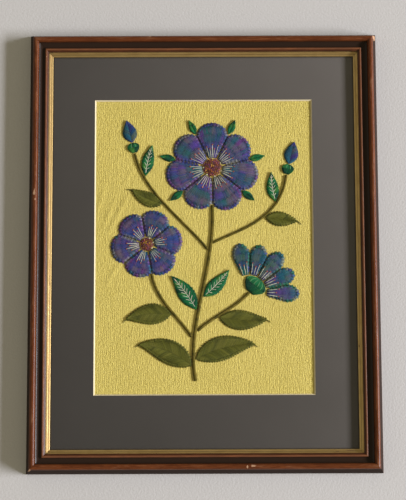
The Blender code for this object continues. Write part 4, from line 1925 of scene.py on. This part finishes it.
    def knotted_dome(self, size: float = 1.02) -> None:
        """Covers a round heart with knots laid in spirals, with pale ones at its rim.

        Args:
            size: Radius of a knot, in millimetres.
        """
        form, radius = self.form, self.form.length
        for vert in self.add_copy(DOME):
            spread = TRIM.dome_spread * radius
            rise = vert.co.z * (form.crown_height - TRIM.dome_sunk) * MM
            vert.co = on_silk(form.x + vert.co.x * spread, form.y + vert.co.y * spread, 0)
            vert.co.z = SILK_FRONT + TRIM.pad_foot * MM + rise
            self.shade(vert, srgb(120, 76, 48))
        count = round(TRIM.knot_cover * (radius / size) ** 2)
        for number in range(count):
            reach = radius * math.sqrt((number + 0.5) / count)
            angle = number * math.pi * (3 - math.sqrt(5))
            share = reach / radius
            z = form.crown_height * (1 - share ** 2.6) ** 0.6 - 1.0
            x, y = form.x + reach * math.cos(angle), form.y + reach * math.sin(angle)
            place = on_silk(x, y, max(z, 0.0) + 0.1)
            skein = PALE if share > 0.9 and number % 3 == 0 else self.skein
            colour = skein.pick(share, self.rng, place)
            self.knot(place, colour, size * self.rng.uniform(0.9, 1.1))

    def hook(self, curl: float) -> None:
        """Ends a leaf in a thin curled thread.

        Args:
            curl: How far it turns, in degrees. The sign gives the hand.
        """
        form = self.form
        for number, (step, spread) in enumerate(((1.0, 0.0), (0.74, 0.5), (0.5, -0.5))):
            x, y, angle = form.line(form.reach - 0.05)
            path = []
            for index in range(8):
                left = 1 - index / 8
                spot = x - spread * left * math.sin(angle), y + spread * left * math.cos(angle)
                path.append(on_silk(*spot, 0.35 + form.lift * left - 0.05 * number))
                angle += math.radians(curl) * step / 8
                on = TRIM.hook_step * step
                x, y = x + on * math.cos(angle), y + on * math.sin(angle)
            self.lay(path, lit(self.skein.pick(0.1, self.rng), 0.8), thick=1.5, taper=0.5)

    def done(self, floss: dict[str, bpy.types.Material]) -> None:
        """Finishes the piece, which takes the place of the solid of the same name.

        Args:
            floss: The thread of each slot.
        """
        name, slot = self.form.name, self.skein.slot
        piece = finish_piece(f"stitched_{name}", self.mesh, [floss[slot]], name, 70)


@dataclass(frozen=True)
class Bloom:
    """Petals that fan out from a point, in millimetres from the window's middle.

    Core is the radius of its heart, or the length of the cup under a side-on bloom.
    """

    name: str
    x: float
    y: float
    petals: int
    first: float
    step: float
    core: float
    radius: float
    rays: int
    skein: Skein
    edging: Skein

    @property
    def headings(self) -> list[float]:
        """Where its petals point, in degrees."""
        return [self.first + self.step * index for index in range(self.petals)]


@dataclass(frozen=True)
class Bud:
    """A closed bud, placed by the foot of the cup that it stands in."""

    name: str
    x: float
    y: float
    heading: float
    skein: Skein


@dataclass(frozen=True)
class Stem:
    """A stem, by the four points of its curve and its width in millimetres."""

    name: str
    start: Point
    pull_start: Point
    pull_end: Point
    end: Point
    width: float

    def points(self, count: int) -> list[Point]:
        """Returns points of its curve.

        Args:
            count: How many points there are.
        """
        corners = (self.start, self.pull_start, self.pull_end, self.end)
        line = interpolate_bezier(*(Vector((*corner, 0)) for corner in corners), count)
        return [(point.x, point.y) for point in line]

    def branch(
        self, along: float, side: int, splay: float, half_width: float, segments: int = 12
    ) -> tuple[float, float, float]:
        """Returns the root and the heading of what grows from the stem, clear of its side.

        Args:
            along: Where on the stem it grows, as a share.
            side: 1 for the left side and -1 for the right one.
            splay: The angle between the two, in degrees.
            half_width: Half the width of what grows.
            segments: How many straight parts the stem's solid has.
        """
        line = self.points(segments + 1)
        index = int(along * segments)
        start, end = line[index], line[index + 1]
        x, y = blend(start, end, along * segments - index)
        heading = math.degrees(math.atan2(end[1] - start[1], end[0] - start[0]))
        clear = self.width / 2 + PIECE_GAP + half_width * math.cos(math.radians(splay))
        return *ahead_of(x, y, heading + side * 90, clear), heading + side * splay


@dataclass(frozen=True)
class SideStem:
    """A stem that leaves the main one: where, on which side and at what angle."""

    name: str
    along: float
    side: int
    splay: float
    pull: float
    pull_end: Point
    end: Point
    width: float


@dataclass(frozen=True)
class Leaf:
    """A leaf: the stem that it grows from, where, and its length, width and bend."""

    name: str
    stem: str
    along: float
    side: int
    splay: float
    length: float
    width: float
    bend: float
    skein: Skein


@dataclass
class Spray:
    """The embroidered spray of blooms, buds, stems and leaves, stitched piece by piece."""

    floss: dict[str, bpy.types.Material]
    high_bloom: Bloom = Bloom("high_bloom", 10, 92, 7, 90, 360 / 7, 11, 54, 5, BLUE, EDGE_BLUE)
    left_bloom: Bloom = Bloom("left_bloom", -66, 2, 6, 70, 360 / 6, 8, 41, 4, VIOLET, EDGE_BLUE)
    fan: Bloom = Bloom("fan", 52, -54, 5, -2, 26, 19.4, 58, 3, TEAL, EDGE_GREEN)
    fan_heading: float = 50
    fan_cup_width: float = 27
    petal_play: float = 0.035
    petal_play_step: float = 2.4
    sepal_inset: float = 9.5
    sepal_size: Point = (18, 8)
    foot_heading: float = 270
    buds: Sequence[Bud] = (
        Bud("left_bud", -80, 110, 104, TEAL),
        Bud("right_bud", 96, 84, 76, VIOLET),
    )
    bud_size: Point = (27, 16)
    cup_size: Point = (12, 14)
    main_stem: Stem = Stem("main_stem", (-10, -156), (-22, -92), (14, -26), (10, 47.5), 3.4)
    side_stems: Sequence[SideStem] = (
        SideStem("left_stem", 0.26, 1, 40, 30, (-54.6, -64), (-60.2, -32.6), 2.8),
        SideStem("right_stem", 0.30, -1, 38, 22, (37, -72), (51.2, -54.9), 2.8),
        SideStem("left_bud_stem", 0.76, 1, 44, 40, (-70, 62), (-79.8, 109), 2.4),
        SideStem("right_bud_stem", 0.80, -1, 56, 34, (90, 30), (95.8, 83), 2.4),
    )
    leaves: Sequence[Leaf] = (
        Leaf("foot_leaf_left", "main_stem", 0.09, 1, 46, 66, 26, 36, OLIVE),
        Leaf("foot_leaf_right", "main_stem", 0.13, -1, 60, 70, 26, 30, OLIVE),
        Leaf("low_leaf_left", "left_stem", 0.40, 1, 42, 52, 22, 24, OLIVE),
        Leaf("low_leaf_right", "right_stem", 0.40, -1, 44, 54, 21, -16, OLIVE),
        Leaf("middle_leaf_left", "main_stem", 0.42, 1, 40, 48, 19, 14, EMERALD),
        Leaf("middle_leaf_right", "main_stem", 0.50, -1, 40, 42, 16, -14, EMERALD),
        Leaf("bud_leaf_low_left", "left_bud_stem", 0.54, 1, 38, 38, 15, -26, OLIVE),
        Leaf("bud_leaf_high_left", "left_bud_stem", 0.80, -1, 34, 36, 14, 14, EMERALD),
        Leaf("bud_leaf_low_right", "right_bud_stem", 0.58, -1, 44, 36, 15, 0, OLIVE),
        Leaf("bud_leaf_high_right", "right_bud_stem", 0.76, 1, 46, 34, 14, -16, EMERALD),
    )
    leaf_curl: float = 52

    def stitch_petals(self, bloom: Bloom) -> None:
        """Stitches the petals of a bloom.

        Args:
            bloom: The bloom.
        """
        root = bloom.core + PIECE_GAP
        half_step = (bloom.headings[1] - bloom.headings[0]) / 2
        for index, heading in enumerate(bloom.headings):
            shorter = self.petal_play * (1 + math.sin(self.petal_play_step * index))
            form = PetalForm(
                f"{bloom.name}_petal_{index + 1}", *ahead_of(bloom.x, bloom.y, heading, root),
                heading, (bloom.radius - root) * (1 - shorter), root=root, half_step=half_step,
            )
            needle = Needle(form, bloom.skein)
            needle.pad()
            needle.radial_rows()
            needle.buttonhole_edge(bloom.edging, PETAL_EDGE)
            needle.rays(bloom.rays)
            needle.done(self.floss)

    def stitch_heart(self, bloom: Bloom) -> None:
        """Stitches the knotted heart of an open bloom.

        Args:
            bloom: The bloom.
        """
        needle = Needle(HeartForm(f"{bloom.name}_heart", bloom.x, bloom.y, 0, bloom.core), ROSE)
        needle.knotted_dome()
        needle.done(self.floss)

    def stitch_cup(self, form: CupForm) -> None:
        """Covers a green cup with satin stitches.

        Args:
            form: Its padded shape.
        """
        needle = Needle(form, EMERALD, SOFT)
        needle.pad()
        needle.lengthwise(MINT)
        needle.done(self.floss)

    def stitch_leaf(
        self, form: LeafForm, skein: Skein, veined: bool = False, curl: float = 0.0
    ) -> None:
        """Stitches a leaf, sepal or bud.

        Args:
            form: Its padded shape.
            skein: Its threads.
            veined: Whether it has pale veins.
            curl: Turn of the hook at its tip in degrees, or 0 for none.
        """
        needle = Needle(form, skein, STOUT if veined else FINE)
        needle.pad()
        needle.fishbone(0.95 if curl else 1.03)
        if veined:
            needle.veins(PALE)
        if curl:
            needle.buttonhole_edge(skein, LEAF_EDGE)
            needle.hook(curl)
        needle.done(self.floss)

    def stitch_sepals(self, bloom: Bloom) -> None:
        """Stitches a sepal in each gap between petals, but for the one over the stem.

        Args:
            bloom: The bloom.
        """
        half_step = 180 / bloom.petals
        gaps = [heading + half_step for heading in bloom.headings]
        gaps = [gap for gap in gaps if abs(gap - self.foot_heading) > half_step]
        for index, gap in enumerate(gaps):
            root = ahead_of(bloom.x, bloom.y, gap, bloom.radius - self.sepal_inset)
            self.stitch_leaf(LeafForm(f"sepal_{index + 1}", *root, gap, *self.sepal_size), EMERALD)

    def stitch_bud(self, bud: Bud) -> None:
        """Stitches a bud and the cup that it stands in.

        Args:
            bud: The bud.
        """
        self.stitch_cup(CupForm(f"{bud.name}_cup", bud.x, bud.y, bud.heading, *self.cup_size))
        root = ahead_of(bud.x, bud.y, bud.heading, self.cup_size[0] + PIECE_GAP)
        self.stitch_leaf(LeafForm(bud.name, *root, bud.heading, *self.bud_size), bud.skein)

    def grown(self, row: SideStem) -> Stem:
        """Turns a row of side stems into a stem whose curve leaves the main one.

        Args:
            row: Where and how it leaves the main stem.

        Returns:
            The stem.
        """
        x, y, heading = self.main_stem.branch(row.along, row.side, row.splay, row.width / 2)
        pull_start = ahead_of(x, y, heading, row.pull)
        return Stem(row.name, (x, y), pull_start, row.pull_end, row.end, row.width)

    def stitch_stem(self, stem: Stem) -> None:
        """Wraps a stem.

        Args:
            stem: The stem.
        """
        points = stem.points(60)
        run = sum(math.dist(a, b) for a, b in zip(points, points[1:]))
        form = StemForm(stem.name, *stem.start, 0, run, stem.width, points=points)
        needle = Needle(form, BARK)
        needle.pad(6)
        needle.wraps()
        needle.done(self.floss)

    def build(self) -> None:
        """Stitches the whole spray."""
        self.stitch_petals(self.high_bloom)
        self.stitch_heart(self.high_bloom)
        self.stitch_sepals(self.high_bloom)
        self.stitch_petals(self.left_bloom)
        self.stitch_heart(self.left_bloom)
        self.stitch_petals(self.fan)
        self.stitch_cup(CupForm(
            "fan_cup", self.fan.x, self.fan.y, self.fan_heading, self.fan.core, self.fan_cup_width
        ))
        for bud in self.buds:
            self.stitch_bud(bud)
        stems = [self.main_stem] + [self.grown(row) for row in self.side_stems]
        for stem in stems:
            self.stitch_stem(stem)
        by_name = {stem.name: stem for stem in stems}
        for leaf in self.leaves:
            stem = by_name[leaf.stem]
            place = stem.branch(leaf.along, leaf.side, leaf.splay, LEAF_STALK / 2)
            bend = leaf.side * leaf.bend
            form = LeafForm(leaf.name, *place, leaf.length, leaf.width, bend)
            veined = leaf.skein is EMERALD
            self.stitch_leaf(form, leaf.skein, veined, 0 if veined else leaf.side * self.leaf_curl)


@dataclass(frozen=True)
class Lamp:
    """An area light that points at the middle of the picture."""

    name: str
    size: Point
    power: float
    colour: Colour
    heading: float
    elevation: float
    distance: float

    def hang(self) -> None:
        """Puts the light into the scene."""
        data = bpy.data.lights.new(self.name, "AREA")
        data.shape = "RECTANGLE"
        data.size, data.size_y = self.size
        data.energy = self.power
        data.color = self.colour
        light = stand(self.name, data)
        turn, tilt = math.radians(self.heading), math.radians(self.elevation)
        flat = math.cos(tilt)
        place = Vector((flat * math.cos(turn), flat * math.sin(turn), math.sin(tilt)))
        light.location = place * self.distance
        light.rotation_euler = place.to_track_quat("Z", "Y").to_euler()


@dataclass
class Studio:
    """A pale floor, window light from the right, a reflector, a dim sky and the camera."""

    floor_material: bpy.types.Material
    floor_size: float = 6.0
    floor_drop: float = 0.2 * MM
    camera_place: tuple[float, float, float] = (-0.0027, -0.3360, 2.073)
    camera_tilt: tuple[float, float, float] = (9.23, -0.01, -0.21)
    lens: float = 130.9
    sensor: float = 36.0
    lamps: Sequence[Lamp] = (
        Lamp("window_light", (4.9, 1.37), 1500.0, (0.93, 0.94, 1.0), -6.0, 24.5, 9.0),
        Lamp("reflector", (4.0, 1.6), 6.5, (0.95, 1.0, 0.92), 176.0, 32.0, 3.0),
    )
    sky_colour: Colour = (1.0, 0.90, 0.62)
    sky_strength: float = 0.29

    def build_floor(self) -> None:
        """Lays the floor just below the frame's back."""
        shape = bmesh.new()
        bmesh.ops.create_grid(shape, x_segments=2, y_segments=2, size=self.floor_size / 2)
        bmesh.ops.translate(shape, vec=(0, 0, -self.floor_drop), verts=shape.verts[:])
        floor = stand("floor", kept("floor", shape))
        floor.data.materials.append(self.floor_material)

    def build_lights(self) -> None:
        """Hangs the lamps and lights the sky."""
        for lamp in self.lamps:
            lamp.hang()
        world = bpy.data.worlds.new("room")
        world.use_nodes = True
        sky = world.node_tree.nodes["Background"]
        sky.inputs["Color"].default_value = (*self.sky_colour, 1.0)
        sky.inputs["Strength"].default_value = self.sky_strength
        bpy.context.scene.world = world
        bpy.context.scene.view_settings.view_transform = "Standard"

    def build_camera(self) -> None:
        """Sets the camera where the photograph was taken from."""
        data = bpy.data.cameras.new("camera")
        data.lens = self.lens
        data.sensor_width = self.sensor
        camera = stand("camera", data)
        camera.location = self.camera_place
        camera.rotation_euler = [math.radians(angle) for angle in self.camera_tilt]
        bpy.context.scene.camera = camera


def main() -> None:
    """Builds the pieces in order: frame, mount, silk, glazing, embroidery and studio."""
    logging.basicConfig(level=logging.INFO, format="%(message)s")
    section = FrameSection()
    rail, slip = section.rail(), section.slip()
    wood, gilt = StainedWood().material(), GoldLeaf().material()
    for moulding in (
        MitredMoulding("moulding", "rail", "mahogany", rail, wood, RAIL_MARKS),
        MitredMoulding("gilt_edge", "slip", "gilt", slip, gilt, SLIP_MARKS),
    ):
        for side in Side:
            moulding.build(side)
    MountBoard(MountPaper().material(), BoardCore().material()).build()
    SilkPanel(CrepeSilk().material()).build()
    for node, finish in (("glass", ClearGlass()), ("backing_board", Hardboard())):
        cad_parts[node].data.materials[0] = finish.material()
        LOG.info("%s: finished", node)
    slots = sorted({skein.slot for skein in (BLUE, VIOLET, TEAL, EMERALD, OLIVE, ROSE)})
    floss = {slot: Floss(slot.replace("thread", "floss")).material() for slot in slots}
    Spray(floss).build()
    studio = Studio(PaleFloor().material())
    studio.build_floor()
    studio.build_lights()
    studio.build_camera()


if __name__ == "__main__":
    main()
